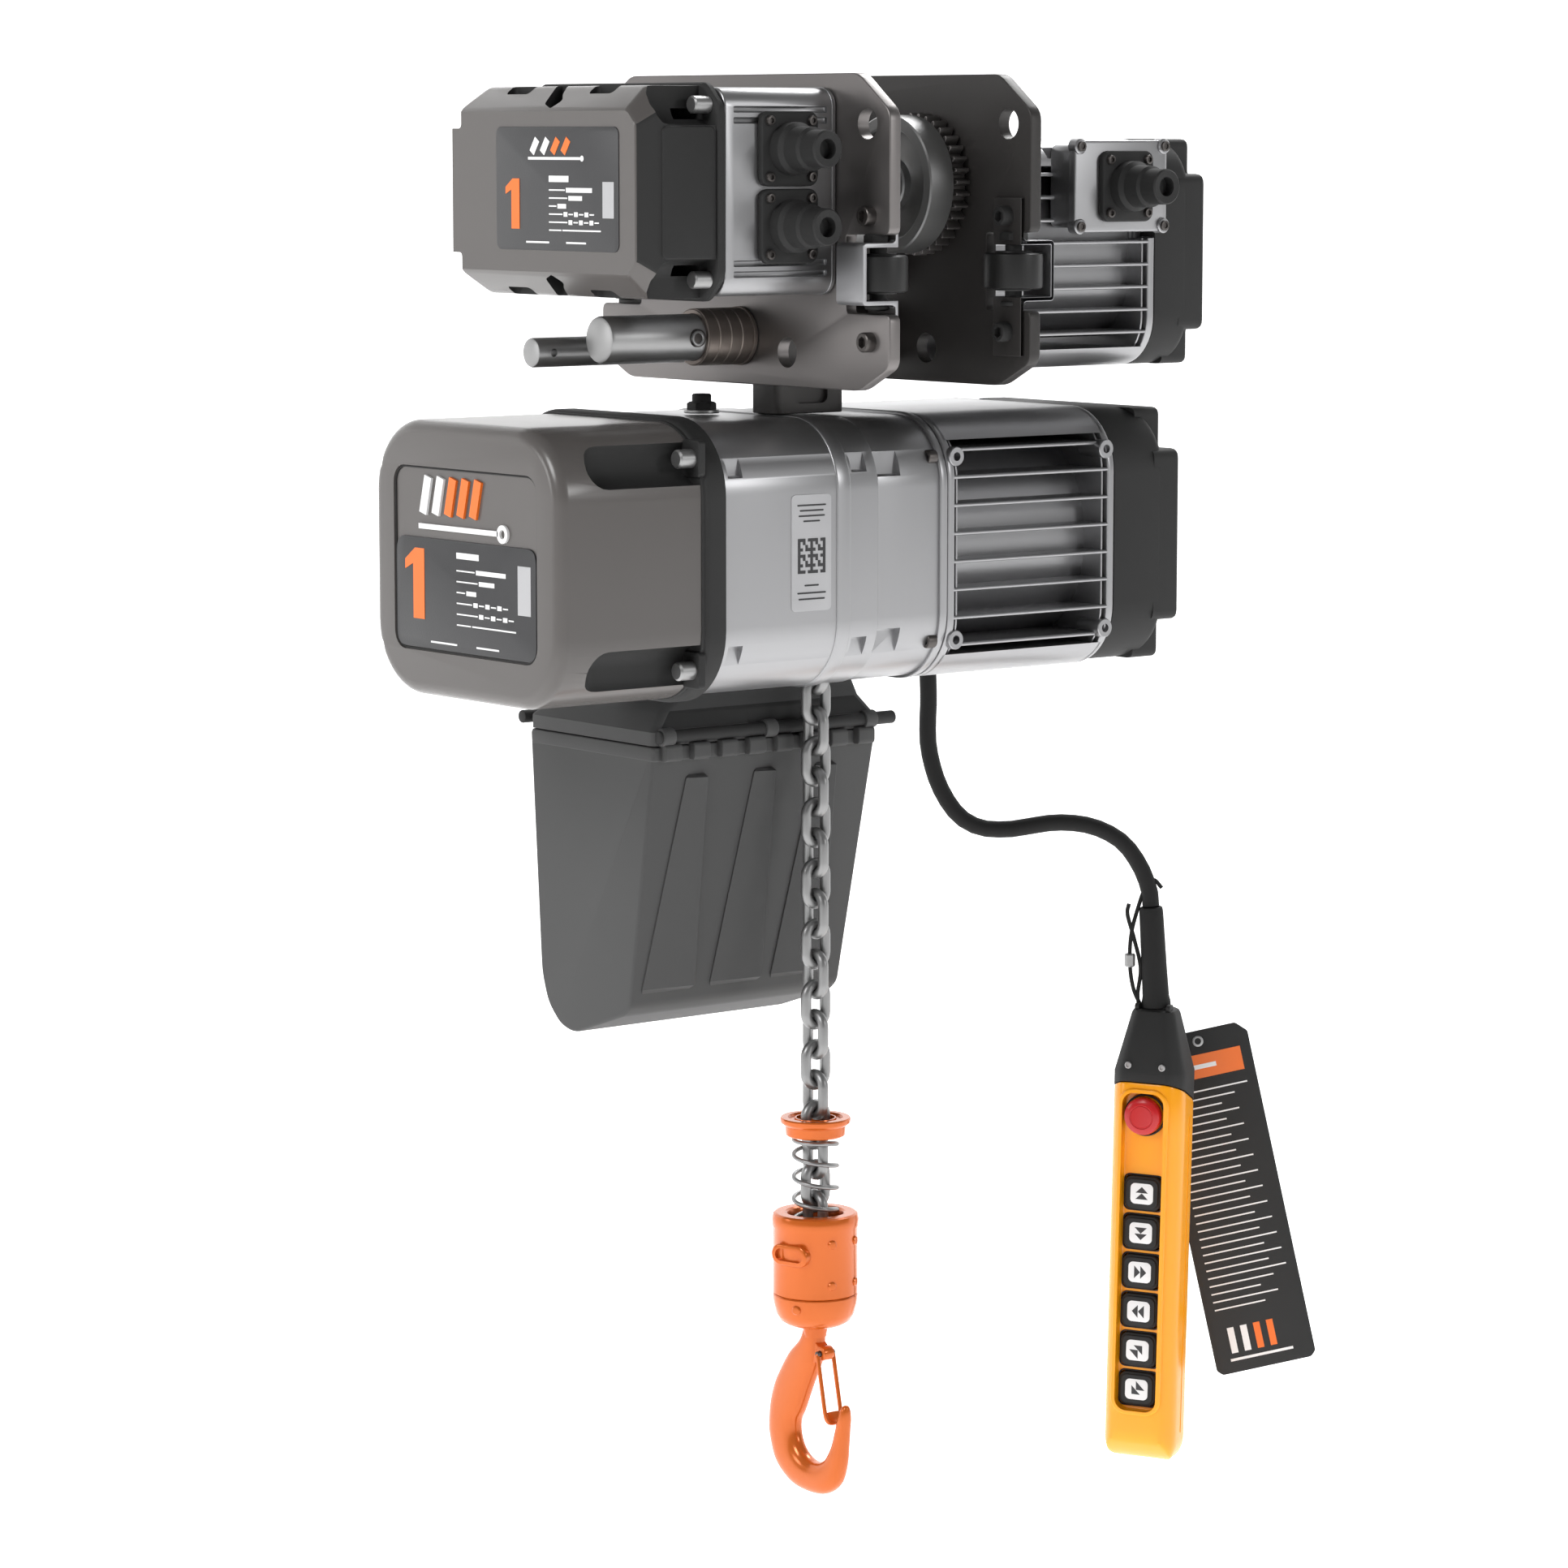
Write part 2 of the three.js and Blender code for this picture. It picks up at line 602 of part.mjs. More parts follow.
const bodyCentre = [BODY_Y, BODY_Z];
const bodySection = (grow = 0, steps = 5) =>
  roundedRect(BODY_W + 2 * grow, BODY_H + 2 * grow, BODY_R + grow, bodyCentre, steps);
const chainHole = (y) => block([-15, 15], [y - 15, y + 15], [BODY_Z - BODY_H, BODY_Z - 60]);
const slackY = BODY_Y + SHEAVE_R;

function hoistControlCover() {
  const rear = BODY_Y + BODY_W / 2;
  const front = BODY_Y - BODY_W / 2;
  const [low, high] = [BODY_Z - BODY_H / 2, BODY_Z + BODY_H / 2];
  const bevel = 3;
  const body = join(
    prism('x', bodySection(0), COVER_END + bevel, FLANGE_FROM),
    prism('x', bodySection(-bevel), COVER_END, COVER_END + bevel),
    prism('x', bodySection(3), FLANGE_FROM - 1, CASING_FROM - FIT),
  );
  const scoops = [[front, -1], [rear, 1]].flatMap(([y, s]) => [low, high].map((z) => {
    const span = s < 0 ? [y - 5, y + 12] : [y - 12, y + 5];
    const height = z < BODY_Z ? [z - 5, z + 30] : [z - 30, z + 5];
    return block([COVER_END + 28, FLANGE_FROM - 6], span, height);
  }));
  const corners = [[front, -1], [rear, 1]].flatMap(([y, s]) => [low, high].map((z) => {
    const span = s < 0 ? [y - 5, y + 13] : [y - 13, y + 5];
    const height = z < BODY_Z ? [z - 5, z + 32] : [z - 32, z + 5];
    return block([COVER_END - 1, COVER_END + 10], span, height);
  }));
  const panel = prism('x', roundedRect(164, 122, 12, bodyCentre, 3), COVER_END - 1, COVER_END + 2);
  const hollow = prism('x', roundedRect(BODY_W - 30, BODY_H - 30, 36, bodyCentre, 4), COVER_END + 40, CASING_FROM);
  return cut(body, ...scoops, ...corners, panel, hollow);
}

// Corner pockets cast into a stretch of the body between two X positions.
function cornerPockets(from, to, depth, reach) {
  return [-1, 1].flatMap((sy) => [-1, 1].map((sz) => {
    const y = BODY_Y + sy * (BODY_W / 2);
    const z = BODY_Z + sz * (BODY_H / 2 - reach);
    const span = sy < 0 ? [y - 1, y + depth] : [y - depth, y + 1];
    const height = sz < 0 ? [z - 24, z] : [z, z + 24];
    return block([from, to], span, height);
  }));
}

function gearCasing() {
  const outer = join(
    prism('x', bodySection(-1), CASING_FROM, CASING_TO),
    prism('x', bodySection(0), -40, -28),
  );
  const inner = roundedRect(BODY_W - 2 * WALL - 14, BODY_H - 2 * WALL, 34, bodyCentre, 3);
  return cut(
    outer,
    prism('x', inner, CASING_FROM + 8, CASING_TO + 1),
    rod('x', ROTOR_SHAFT_R + 0.5, CASING_FROM - 1, CASING_FROM + 9, bodyCentre),
    rod('x', 7.5, CASING_FROM - 1, CASING_FROM + 9, [GEAR_Y, BODY_Z]),
    chainHole(0),
    chainHole(slackY),
    ...cornerPockets(CASING_FROM + 5, CASING_FROM + 17, 8, 36),
    ...cornerPockets(-26, -13, 8, 36),
  );
}

function motorFlange() {
  const from = CASING_TO + FIT;
  const to = MOTOR_FROM - FIT;
  const inner = roundedRect(BODY_W - 2 * WALL - 14, BODY_H - 2 * WALL, 34, bodyCentre, 3);
  return cut(
    join(prism('x', bodySection(-2), from, to), prism('x', bodySection(0), to - 6, to)),
    prism('x', inner, from - 1, to - 10),
    rod('x', ROTOR_SHAFT_R + 0.5, to - 11, to + 1, bodyCentre),
    chainHole(0),
    chainHole(slackY),
    ...cornerPockets(from - 1, from + 20, 9, 40),
  );
}

function motorCasing() {
  const barrel = finnedBarrel({
    from: MOTOR_FROM,
    to: MOTOR_TO - FIT,
    y: BODY_Y,
    z: BODY_Z,
    width: BODY_W,
    height: BODY_H - 2,
    radius: BODY_R - 4,
    core: [172, 146, 66],
    fins: [-66, -47, -28, -9, 10, 29, 48, 66],
    bore: 58,
  });
  const bosses = [-1, 1].flatMap((s) => [-62, 62].flatMap((z) => [MOTOR_FROM, MOTOR_TO - FIT - 26].map((x) => {
    const y = BODY_Y + s * (BODY_W / 2 - 6.5);
    return rod('x', 6.5, x, x + 26, [y, BODY_Z + z], 10);
  })));
  return join(barrel, ...bosses);
}

function motorFanCover() {
  return fanCover(MOTOR_TO, FAN_END, bodyCentre, [BODY_W, BODY_H - 6], BODY_R - 4, [21, 28]);
}

// Forged lug on top of the body, with the eye that hangs on the suspension shaft.
function suspensionLug() {
  const base = BODY_Z + BODY_H / 2 + FIT;
  const column = cut(
    block([-45, 13], [-15, 15], [base, SHAFT_Z]),
    block([-30, -2], [-16, -12], [base - 1, SHAFT_Z + 1]),
    block([-30, -2], [12, 16], [base - 1, SHAFT_Z + 1]),
  );
  const eye = rod('x', 27, -PLATE_IN + FIT, 8, [0, SHAFT_Z], SHAFT_SIDES);
  return cut(join(column, eye), rod('x', SHAFT_R + FIT, -60, 20, [0, SHAFT_Z], SHAFT_SIDES), block([8, 20], [-22, 22], [-78, -20]));
}

function oilPlug() {
  const seat = BODY_Z + BODY_H / 2 + FIT;
  return join(
    rod('z', 11, seat, seat + 3, [-72, BODY_Y], 20),
    rod('z', 9.5, seat + 2, seat + 7, [-72, BODY_Y], 6),
    rod('z', 6.5, seat + 6, seat + 13, [-72, BODY_Y], 12),
  );
}

add('hoist_control_cover', hoistControlCover(), darkPaint);
add('gear_casing', gearCasing(), castAluminium);
add('motor_flange', motorFlange(), castAluminium);
add('motor_casing', motorCasing(), castAluminium);
add('motor_fan_cover', motorFanCover(), blackPlastic);
add('suspension_lug', suspensionLug(), blackPlastic);
add('oil_plug', oilPlug(), blackPlastic);

// ---------------------------------------------------------------- lifting gear

const hoistGear = { pressure: 25, addendum: 0.8, dedendum: 1.05, backlash: 0.4 };
const fineGear = { ...hoistGear, module: 2 };
const coarseGear = { ...hoistGear, module: 2.5 };
const shaftBore = (from, to) => rod('x', ROTOR_SHAFT_R + 0.7, from, to, bodyCentre);

function loadSheave() {
  const profile = [
    [ROTOR_SHAFT_R + 0.7, -44], [20, -44], [20, -19.5], [36, -19.5], [36, -13.4], [20, -13.4], [20, 13.4],
    [36, 13.4], [36, 19.5], [20, 19.5], [20, 30], [ROTOR_SHAFT_R + 0.7, 30],
  ];
  const teeth = gearOutline({ ...coarseGear, teeth: 28, phase: Math.PI / 28, at: bodyCentre });
  return join(lathe('x', profile, bodyCentre, 20), cut(prism('x', teeth, -42, -30), shaftBore(-43, -29)));
}

function reductionGear() {
  const at = [GEAR_Y, BODY_Z];
  const large = gearOutline({ ...fineGear, teeth: 40, phase: Math.PI, at });
  const small = gearOutline({ ...coarseGear, teeth: 12, phase: Math.PI, at });
  return join(
    prism('x', large, -108, -96),
    prism('x', small, -43, -29),
    rod('x', 11, -97, -42, at, 16),
    rod('x', 7, CASING_FROM + 1, -20, at, 16),
  );
}

function motorRotor() {
  const teeth = gearOutline({ ...fineGear, teeth: 10, phase: Math.PI / 10, at: bodyCentre });
  const blades = [0, 1, 2, 3, 4, 5].map((i) => {
    const geometry = new THREE.BoxGeometry(20, 66, 3);
    geometry.translate(0, 33, 0);
    geometry.rotateX((i * Math.PI) / 3);
    geometry.translate(235, BODY_Y, BODY_Z);
    return solidOf(geometry);
  });
  return join(
    rod('x', ROTOR_SHAFT_R, -112, 248, bodyCentre, 20),
    prism('x', teeth, -109, -95),
    rod('x', 50, 78, 182, bodyCentre, 24),
    rod('x', 22, 222, 246, bodyCentre, 16),
    ...blades,
  );
}

add('load_sheave', loadSheave(), darkSteel);
add('reduction_gear', reductionGear(), darkSteel);
add('motor_rotor', motorRotor(), copperSteel);

// ---------------------------------------------------------------- chain bucket

// Hanger under the body: a cap with the slack chain's way in, flaring to the bucket's rim.
function bucketBracket() {
  const top = BODY_Z - BODY_H / 2 - FIT;
  const cap = { x: [-84, 56], y: [30, 128], z: top };
  const shoulder = { x: [-112, 62], y: [26, 152], z: top - 18 };
  const rim = { x: BUCKET_X, y: BUCKET_Y, z: BUCKET_TOP + FIT + 0.5 };
  const inset = (r, d, z) => ({ x: [r.x[0] + d, r.x[1] - d], y: [r.y[0] + d, r.y[1] - d], z });
  const shell = join(
    hopper(shoulder, cap),
    hopper({ ...rim, z: rim.z + 10 }, { ...shoulder, z: shoulder.z + 0.01 }),
    hopper(rim, { ...rim, z: rim.z + 10.01 }),
  );
  const hollow = join(
    hopper(inset(shoulder, 4, shoulder.z), inset(cap, 4, top - 5)),
    hopper(inset(rim, 4, rim.z + 10), inset(shoulder, 4, shoulder.z + 0.01)),
    hopper(inset(rim, 4, rim.z - 1), inset(rim, 4, rim.z + 10.01)),
  );
  const pinZ = rim.z + 6;
  const ledge = block([rim.x[0] + 8, rim.x[1] - 8], [rim.y[1] - 4, rim.y[1] + 13], [pinZ - 1, pinZ + 3]);
  const pins = [rim.y[0] - 1.5, rim.y[1] + 13].map((y) => rod('x', 4.5, rim.x[0] + 2, rim.x[1] + 13, [y, pinZ], 12));
  return cut(
    join(shell, ledge, ...pins),
    hollow,
    block([-15, 15], [slackY - 15, slackY + 15], [top - 8, top + 1]),
  );
}

function chainBucket() {
  const side = (d, lift) => [
    [BUCKET_Y[0] + d, BUCKET_TOP], [BUCKET_Y[1] - d, BUCKET_TOP], [BUCKET_Y[1] - 2 - d, -500 + lift],
    [BUCKET_Y[1] - 8 - d, -521 + lift], [BUCKET_Y[1] - 22, -535 + lift], [BUCKET_Y[1] - 38, -539 + lift],
    [BUCKET_Y[0] + 46 + d, -519 + lift], [BUCKET_Y[0] + 38 + d, -512 + lift],
  ];
  const face = (d, z) => [
    [z, BUCKET_X[0] + 8 + d], [BUCKET_TOP, BUCKET_X[0] + d], [BUCKET_TOP, BUCKET_X[1] - d], [z, BUCKET_X[1] - 4 - d],
  ];
  const outer = prism('x', side(0, 0), -200, 200).intersect(prism('y', face(0, -540).reverse(), -50, 300));
  const inner = prism('x', side(BUCKET_WALL, BUCKET_WALL), -200, 200)
    .intersect(prism('y', face(BUCKET_WALL, -540).reverse(), -50, 300));
  const lip = block([BUCKET_X[0] + 0.5, BUCKET_X[1] - 0.5], BUCKET_Y, [BUCKET_TOP, BUCKET_TOP + 0.5]);
  const mouth = block(
    [BUCKET_X[0] + BUCKET_WALL, BUCKET_X[1] - BUCKET_WALL],
    [BUCKET_Y[0] + BUCKET_WALL, BUCKET_Y[1] - BUCKET_WALL],
    [BUCKET_TOP - 4, BUCKET_TOP + 2],
  );
  return cut(join(outer, lip), inner, mouth);
}

add('bucket_bracket', bucketBracket(), bucketPlastic);
add('chain_bucket', chainBucket(), bucketPlastic);

// ---------------------------------------------------------------- load chain

// One flat link: a long ring with cut corners, thick as the wire, in the XZ or the YZ plane.
function chainLink(index) {
  const [halfL, halfW] = [LINK_PITCH / 2 + LINK_WIRE, LINK_WIDTH / 2];
  const ring = (l, w, c) => [
    [-w, -l + c], [-w + c, -l], [w - c, -l], [w, -l + c], [w, l - c], [w - c, l], [-w + c, l], [-w, l - c],
  ];
  const z = CHAIN_TOP - LINK_PITCH * (index + 0.5) - LINK_WIRE / 2;
  const half = LINK_WIRE / 2;
  const make = (points, reach) => {
    const placed = points.map(([a, b]) => [a, b + z]);
    if (index % 2) return prism('x', placed, -reach, reach);
    return prism('y', placed.map(([a, b]) => [b, a]).reverse(), -reach, reach);
  };
  return cut(make(ring(halfL, halfW, 6), half), make(ring(halfL - LINK_WIRE, halfW - LINK_WIRE, 2), half + 1));
}

function loadChain() {
  const links = Array.from({ length: LINK_COUNT }, (_, i) => chainLink(i));
  return join(...links);
}

add('load_chain', loadChain(), chainSteel);

function bumpCup() {
  const profile = [
    [13.2, CUP_BOTTOM], [20.5, CUP_BOTTOM], [21, CUP_BOTTOM + 7.5], [24.3, CUP_TOP - 3],
    [24.3, CUP_TOP], [13.2, CUP_TOP],
  ];
  return lathe('z', profile, [0, 0], 32);
}

function limitSpring() {
  const [high, low, turns, mean] = [CUP_BOTTOM - 2, -667, 4.2, 15];
  const points = [];
  const steps = Math.round(turns * 9);
  for (let i = 0; i <= steps; i += 1) {
    const angle = (2 * Math.PI * turns * i) / steps;
    points.push([mean * Math.cos(angle), mean * Math.sin(angle), high + ((low - high) * i) / steps]);
  }
  return alongCurve(points, 1.5, 5, steps);
}

add('bump_cup', bumpCup(), orangePaint);
add('limit_spring', limitSpring(), chainSteel);

// ---------------------------------------------------------------- hook block and hook

function hookBlockUpper() {
  const profile = [
    [0, BLOCK_SPLIT + FIT], [BLOCK_R, BLOCK_SPLIT + FIT], [BLOCK_R, BLOCK_TOP - 1.5],
    [BLOCK_R - 1.5, BLOCK_TOP], [18.5, BLOCK_TOP], [18.5, -669.5], [13.2, -669.5], [13.2, -705], [0, -705],
  ];
  return lathe('z', profile, [0, 0], 24);
}

function hookBlockLower() {
  const profile = [
    [9, BLOCK_BOTTOM], [19, BLOCK_BOTTOM], [24, BLOCK_BOTTOM + 3], [27.5, BLOCK_BOTTOM + 9],
    [BLOCK_R, BLOCK_BOTTOM + 18], [BLOCK_R, BLOCK_SPLIT], [14.5, BLOCK_SPLIT], [14.5, BLOCK_BOTTOM + 9],
    [9, BLOCK_BOTTOM + 9],
  ];
  return lathe('z', profile, [0, 0], 24);
}

// Forged hook in the YZ plane with its mouth towards -Y, a shank and the nut that holds it.
function hook() {
  const arc = (cy, cz, r, from, to, steps) => Array.from({ length: steps + 1 }, (_, i) => {
    const angle = THREE.MathUtils.degToRad(from + ((to - from) * i) / steps);
    return [cy + r * Math.cos(angle), cz + r * Math.sin(angle)];
  });
  const inner = arc(BOWL_Y, BOWL_Z, BOWL_R, 52.5, -142.5, 13);
  const outline = [
    [8, -742], [14, -752], [27, -764], [38, -779], [46, -798], [48, -815], [46, -831], [38, -845],
    [26, -853], [6, -857], [-12, -856], [-24, -849], [-31, -838], [-34, -820], [-37, -800], [-36, -790], [-32.5, -789],
    [-28, -797], [-23, -814],
    ...inner.reverse(),
    [6, -786], [-2, -770], [-5.5, -762], [-6.5, -750], [-6.5, -742],
  ];
  const body = prism('x', outline, -HOOK_THICK / 2, HOOK_THICK / 2);
  const lugRoot = block([-4.5, 4.5], [LATCH_Y, 0], [LATCH_Z - 4, LATCH_Z + 4]);
  const slim = [-1, 1].map((s) => {
    const x = s < 0 ? [-HOOK_THICK, -5] : [5, HOOK_THICK];
    return block(x, [-45, -25.5], [-835, -780]);
  });
  const lug = rod('x', 5, -4.5, 4.5, [LATCH_Y, LATCH_Z], 12);
  return join(
    cut(body, ...slim),
    lug,
    lugRoot,
    rod('z', 8.4, -745, BLOCK_BOTTOM + 12, [0, 0], 20),
    rod('z', 13.5, BLOCK_BOTTOM + 9.6, BLOCK_SPLIT - 1, [0, 0], 6),
  );
}

// Bent wire frame hinged on the hook's lug, with its free end against the inside of the point.
function hookLatch() {
  const length = 50;
  const frame = [[-8.2, 3], [8.2, 3], [8.2, -length], [-8.2, -length]];
  const window = [[-5.4, -6.5], [5.4, -6.5], [5.4, -length + 2.8], [-5.4, -length + 2.8]];
  const flip = (points) => points.map(([x, z]) => [z, x]).reverse();
  const ears = [-1, 1].map((s) => {
    const x = s < 0 ? [-8.2, -5.2] : [5.2, 8.2];
    return block(x, [-2.6, 2.6], [-6.5, 3.4]);
  });
  const plate = cut(
    prism('y', flip(frame), -1.4, 1.4),
    prism('y', flip(window), -3, 3),
    block([-5.2, 5.2], [-5, 5], [-6.6, 5]),
  );
  return { solid: join(plate, ...ears, rod('x', 1.9, -6, 6, [0, 0], 10)), tilt: 12 };
}

function drilledHook() {
  return cut(hook(), rod('x', 2.3, -6, 6, [LATCH_Y, LATCH_Z], 10));
}

add('hook_block_upper', hookBlockUpper(), orangePaint);
add('hook_block_lower', hookBlockLower(), orangePaint);
add('hook', drilledHook(), orangePaint);

const latch = new THREE.Group();
latch.position.set(0, LATCH_Y, LATCH_Z);
latch.rotation.x = -THREE.MathUtils.degToRad(hookLatch().tilt);
add('hook_latch', hookLatch().solid, orangePaint, latch);
group.add(latch);

// ---------------------------------------------------------------- pendant control

// In the pendant's own frame its head's top is at the origin, its front looks along -Y.
const pendant = new THREE.Group();
pendant.rotation.order = 'ZYX';
pendant.position.set(...PENDANT_AT);
pendant.rotation.set(0, THREE.MathUtils.degToRad(PENDANT_TILT), THREE.MathUtils.degToRad(PENDANT_YAW));
group.add(pendant);

const sleeve = new THREE.Group();
sleeve.rotation.order = 'ZYX';
sleeve.position.set(...PENDANT_AT);
sleeve.rotation.set(0, THREE.MathUtils.degToRad(SLEEVE_TILT), THREE.MathUtils.degToRad(-38));
group.add(sleeve);

const FRONT = -25; // front rims of the housing, along Y
const CHANNEL = FRONT + 7; // floor of the channel that the buttons stand in
const pendantSection = [
  [-18.5, FRONT], [18.5, FRONT], [27.5, FRONT + 11], [27.5, 14], [17, 25], [-17, 25], [-27.5, 14],
  [-27.5, FRONT + 11],
];

function pendantHousing() {
  const slope = prism('x', [
    [-40, -30], [40, -30], [40, -HEAD_H - 30], [25, -HEAD_H - 22], [FRONT, -HEAD_H], [-40, -HEAD_H],
  ], -40, 40);
  const taper = [
    [FRONT, 0], [25, 0], [25, HOUSING_BOTTOM + 26], [14, HOUSING_BOTTOM], [FRONT + 14, HOUSING_BOTTOM],
    [FRONT, HOUSING_BOTTOM + 20],
  ];
  const blank = prism('z', pendantSection, HOUSING_BOTTOM, -HEAD_H + 0.01).intersect(prism('x', taper, -40, 40));
  const lowest = BUTTON_FIRST - (BUTTON_COUNT - 1) * BUTTON_PITCH;
  const channel = join(
    block([-16, 16], [FRONT - 1, CHANNEL], [lowest - 16, -HEAD_H - 8]),
    block([-12, 12], [FRONT - 1, CHANNEL], [lowest - 19, -HEAD_H - 5]),
  );
  const wells = Array.from({ length: BUTTON_COUNT }, (_, i) => {
    const z = BUTTON_FIRST - i * BUTTON_PITCH;
    return block([-14.5, 14.5], [CHANNEL - 1, CHANNEL + 9], [z - 13, z + 13]);
  });
  const stopWell = rod('y', 8.6, CHANNEL - 1, CHANNEL + 16, [STOP_AT, 0], 20);
  return cut(blank, slope, channel, ...wells, stopWell);
}

function pendantHead() {
  const low = -HEAD_H + FIT;
  const side = [
    [-14, 0], [14, 0], [25, -HEAD_H + 6], [25, -HEAD_H - 22 + FIT], [FRONT + 0.01, low], [FRONT, -HEAD_H + 6],
  ];
  const face = [[-16, 0], [-27.5, low], [-27.5, -90], [27.5, -90], [27.5, low], [16, 0]];
  return prism('z', pendantSection, -90, 0)
    .intersect(prism('x', side, -40, 40))
    .intersect(prism('y', face.map(([x, z]) => [z, x]).reverse(), -40, 40));
}

function pendantSleeve() {
  const seat = 1.3;
  const profile = [[0, seat], [10.5, seat], [9.4, 12], [8.7, 40], [8.3, SLEEVE_LENGTH], [0, SLEEVE_LENGTH]];
  return lathe('z', profile, [0, 0], 20);
}

function stopButton() {
  const face = CHANNEL - 12;
  const stem = CHANNEL + 11;
  const profile = [
    [0, face], [12, face], [13.2, face + 1.5], [13.2, face + 7], [8.2, face + 7], [8.2, stem], [0, stem],
  ];
  return lathe('y', profile, [STOP_AT, 0], 24);
}

function pushButton(index) {
  const z = BUTTON_FIRST - index * BUTTON_PITCH;
  const rise = 5;
  return join(
    block([-14, 14], [CHANNEL - rise + 1.5, CHANNEL + 5], [z - 12.5, z + 12.5]),
    block([-12.5, 12.5], [CHANNEL - rise, CHANNEL - rise + 2], [z - 11, z + 11]),
  );
}

add('pendant_housing', pendantHousing(), yellowPlastic, pendant);
add('pendant_head', pendantHead(), blackPlastic, pendant);
add('pendant_sleeve', pendantSleeve(), cableRubber, sleeve);
add('stop_button', stopButton(), redPlastic, pendant);
for (let i = 0; i < BUTTON_COUNT; i += 1) add(`push_button_${i + 1}`, pushButton(i), blackPlastic, pendant);

// Instruction card that hangs behind the pendant, askew.
function tagCard() {
  const outline = [
    [-38, -10], [-28, 2], [30, 2], [38, -6], [38, -257], [34, -261], [-34, -261], [-38, -257],
  ];
  return prism('y', outline.map(([x, z]) => [z, x]).reverse(), 0, 1.2);
}

const card = new THREE.Group();
card.rotation.order = 'ZYX';
card.position.set(415, 65, -589);
card.rotation.set(0, THREE.MathUtils.degToRad(-12.5), THREE.MathUtils.degToRad(-38));
add('tag_card', tagCard(), cardPlastic, card);
group.add(card);

// ---------------------------------------------------------------- pendant cable

// Elbow box behind the motor flange, whose tapered nozzle points along +X at the coil.
function pendantCableGland() {
  const rear = BODY_Y + BODY_W / 2 + 1;
  const [y, z] = [148.5, COIL.z + COIL.outer - CABLE_R];
  const profile = [[0, 40], [11, 40], [11, 62], [8.5, 66], [6.2, 122], [0, 122]];
  return join(
    block([8, 44], [rear, rear + 22], [z - 14, z + 14]),
    lathe('x', profile, [y + 3, z], 20),
  );
}

function cableCoil() {
  const { x, z, low, high, inner, outer } = COIL;
  const profile = [
    [inner, low + 3], [inner + 3, low], [outer - 3, low], [outer, low + 3], [outer, high - 3],
    [outer - 3, high], [inner + 3, high], [inner, high - 3],
  ];
  return lathe('y', profile, [z, x], 24);
}

// From the coil straight down, then an easy S to the pendant's sleeve.
const cableRoute = [
  [228, 158.5, -234.6], [228, 158.5, -262], [229.5, 158.6, -298], [231, 158.4, -331], [230.2, 158.4, -353],
  [231.3, 157.5, -372], [237, 153, -396.5], [247.5, 144.8, -417.5], [260.5, 134.6, -427.5], [276, 122.5, -429],
  [288, 113.2, -427], [302, 102.2, -424.2], [316, 91.3, -424.4], [330, 80.3, -428.5], [344, 69.4, -439],
  [354, 61.6, -456.5], [359.4, 57.4, -474], [360.4, 56.5, -485.9],
];

add('pendant_cable_gland', pendantCableGland(), blackPlastic);
add('cable_coil', cableCoil(), cableRubber);
add('cable_drop', alongCurve(cableRoute, CABLE_R, 8, 24), cableRubber);

export default group;
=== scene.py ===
import json
import math

import bmesh
import bpy
import numpy as np
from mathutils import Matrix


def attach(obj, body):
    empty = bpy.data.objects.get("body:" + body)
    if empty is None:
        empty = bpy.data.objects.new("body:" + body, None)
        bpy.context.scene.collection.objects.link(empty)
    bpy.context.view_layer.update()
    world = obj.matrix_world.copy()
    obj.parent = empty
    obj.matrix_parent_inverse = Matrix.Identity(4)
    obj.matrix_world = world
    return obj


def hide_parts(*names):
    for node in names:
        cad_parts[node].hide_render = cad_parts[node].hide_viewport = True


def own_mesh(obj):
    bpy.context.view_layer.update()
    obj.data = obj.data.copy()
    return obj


bl_info = {
    "name": "Chain hoist",
    "version": (1, 0, 0),
    "blender": (4, 5, 0),
    "location": "View3D > Sidebar > Hoist",
    "description": "Builds an electric chain hoist on a motor trolley, piece by piece",
    "category": "Object",
}

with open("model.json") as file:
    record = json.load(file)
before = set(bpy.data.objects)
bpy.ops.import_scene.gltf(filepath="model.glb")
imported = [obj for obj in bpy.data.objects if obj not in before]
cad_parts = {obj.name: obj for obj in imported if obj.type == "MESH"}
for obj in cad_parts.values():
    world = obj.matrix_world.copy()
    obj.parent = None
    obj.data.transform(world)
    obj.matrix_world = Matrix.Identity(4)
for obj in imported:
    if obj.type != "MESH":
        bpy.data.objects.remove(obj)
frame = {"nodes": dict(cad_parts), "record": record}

MM = 0.001
ROOT = "hoist_frame"
AXES = {"x": (2, 0, 1), "y": (0, 2, 1), "z": (0, 1, 2)}


# Shapes. A shape is (vertices in millimetres, faces); a piece is one object made of shapes.


def circle(u, v, radius, count=48):
    """Closed outline (u + r cos t, v + r sin t)."""
    t = np.arange(count) * (2 * np.pi / count)
    return np.stack([u + radius * np.cos(t), v + radius * np.sin(t)], 1)


def rounded(u, v, width, height, radius, steps=6):
    """Closed outline of a rectangle whose corners are quarter circles, (cos t, sin t) times the radius."""
    t = np.linspace(0, np.pi / 2, steps + 1)[None, :] + (np.arange(4) * np.pi / 2)[:, None]
    corner = np.array([(1, 1), (-1, 1), (-1, -1), (1, -1)]) * [width / 2 - radius, height / 2 - radius]
    points = corner[:, None] + radius * np.stack([np.cos(t), np.sin(t)], -1)
    return points.reshape(-1, 2) + [u, v]


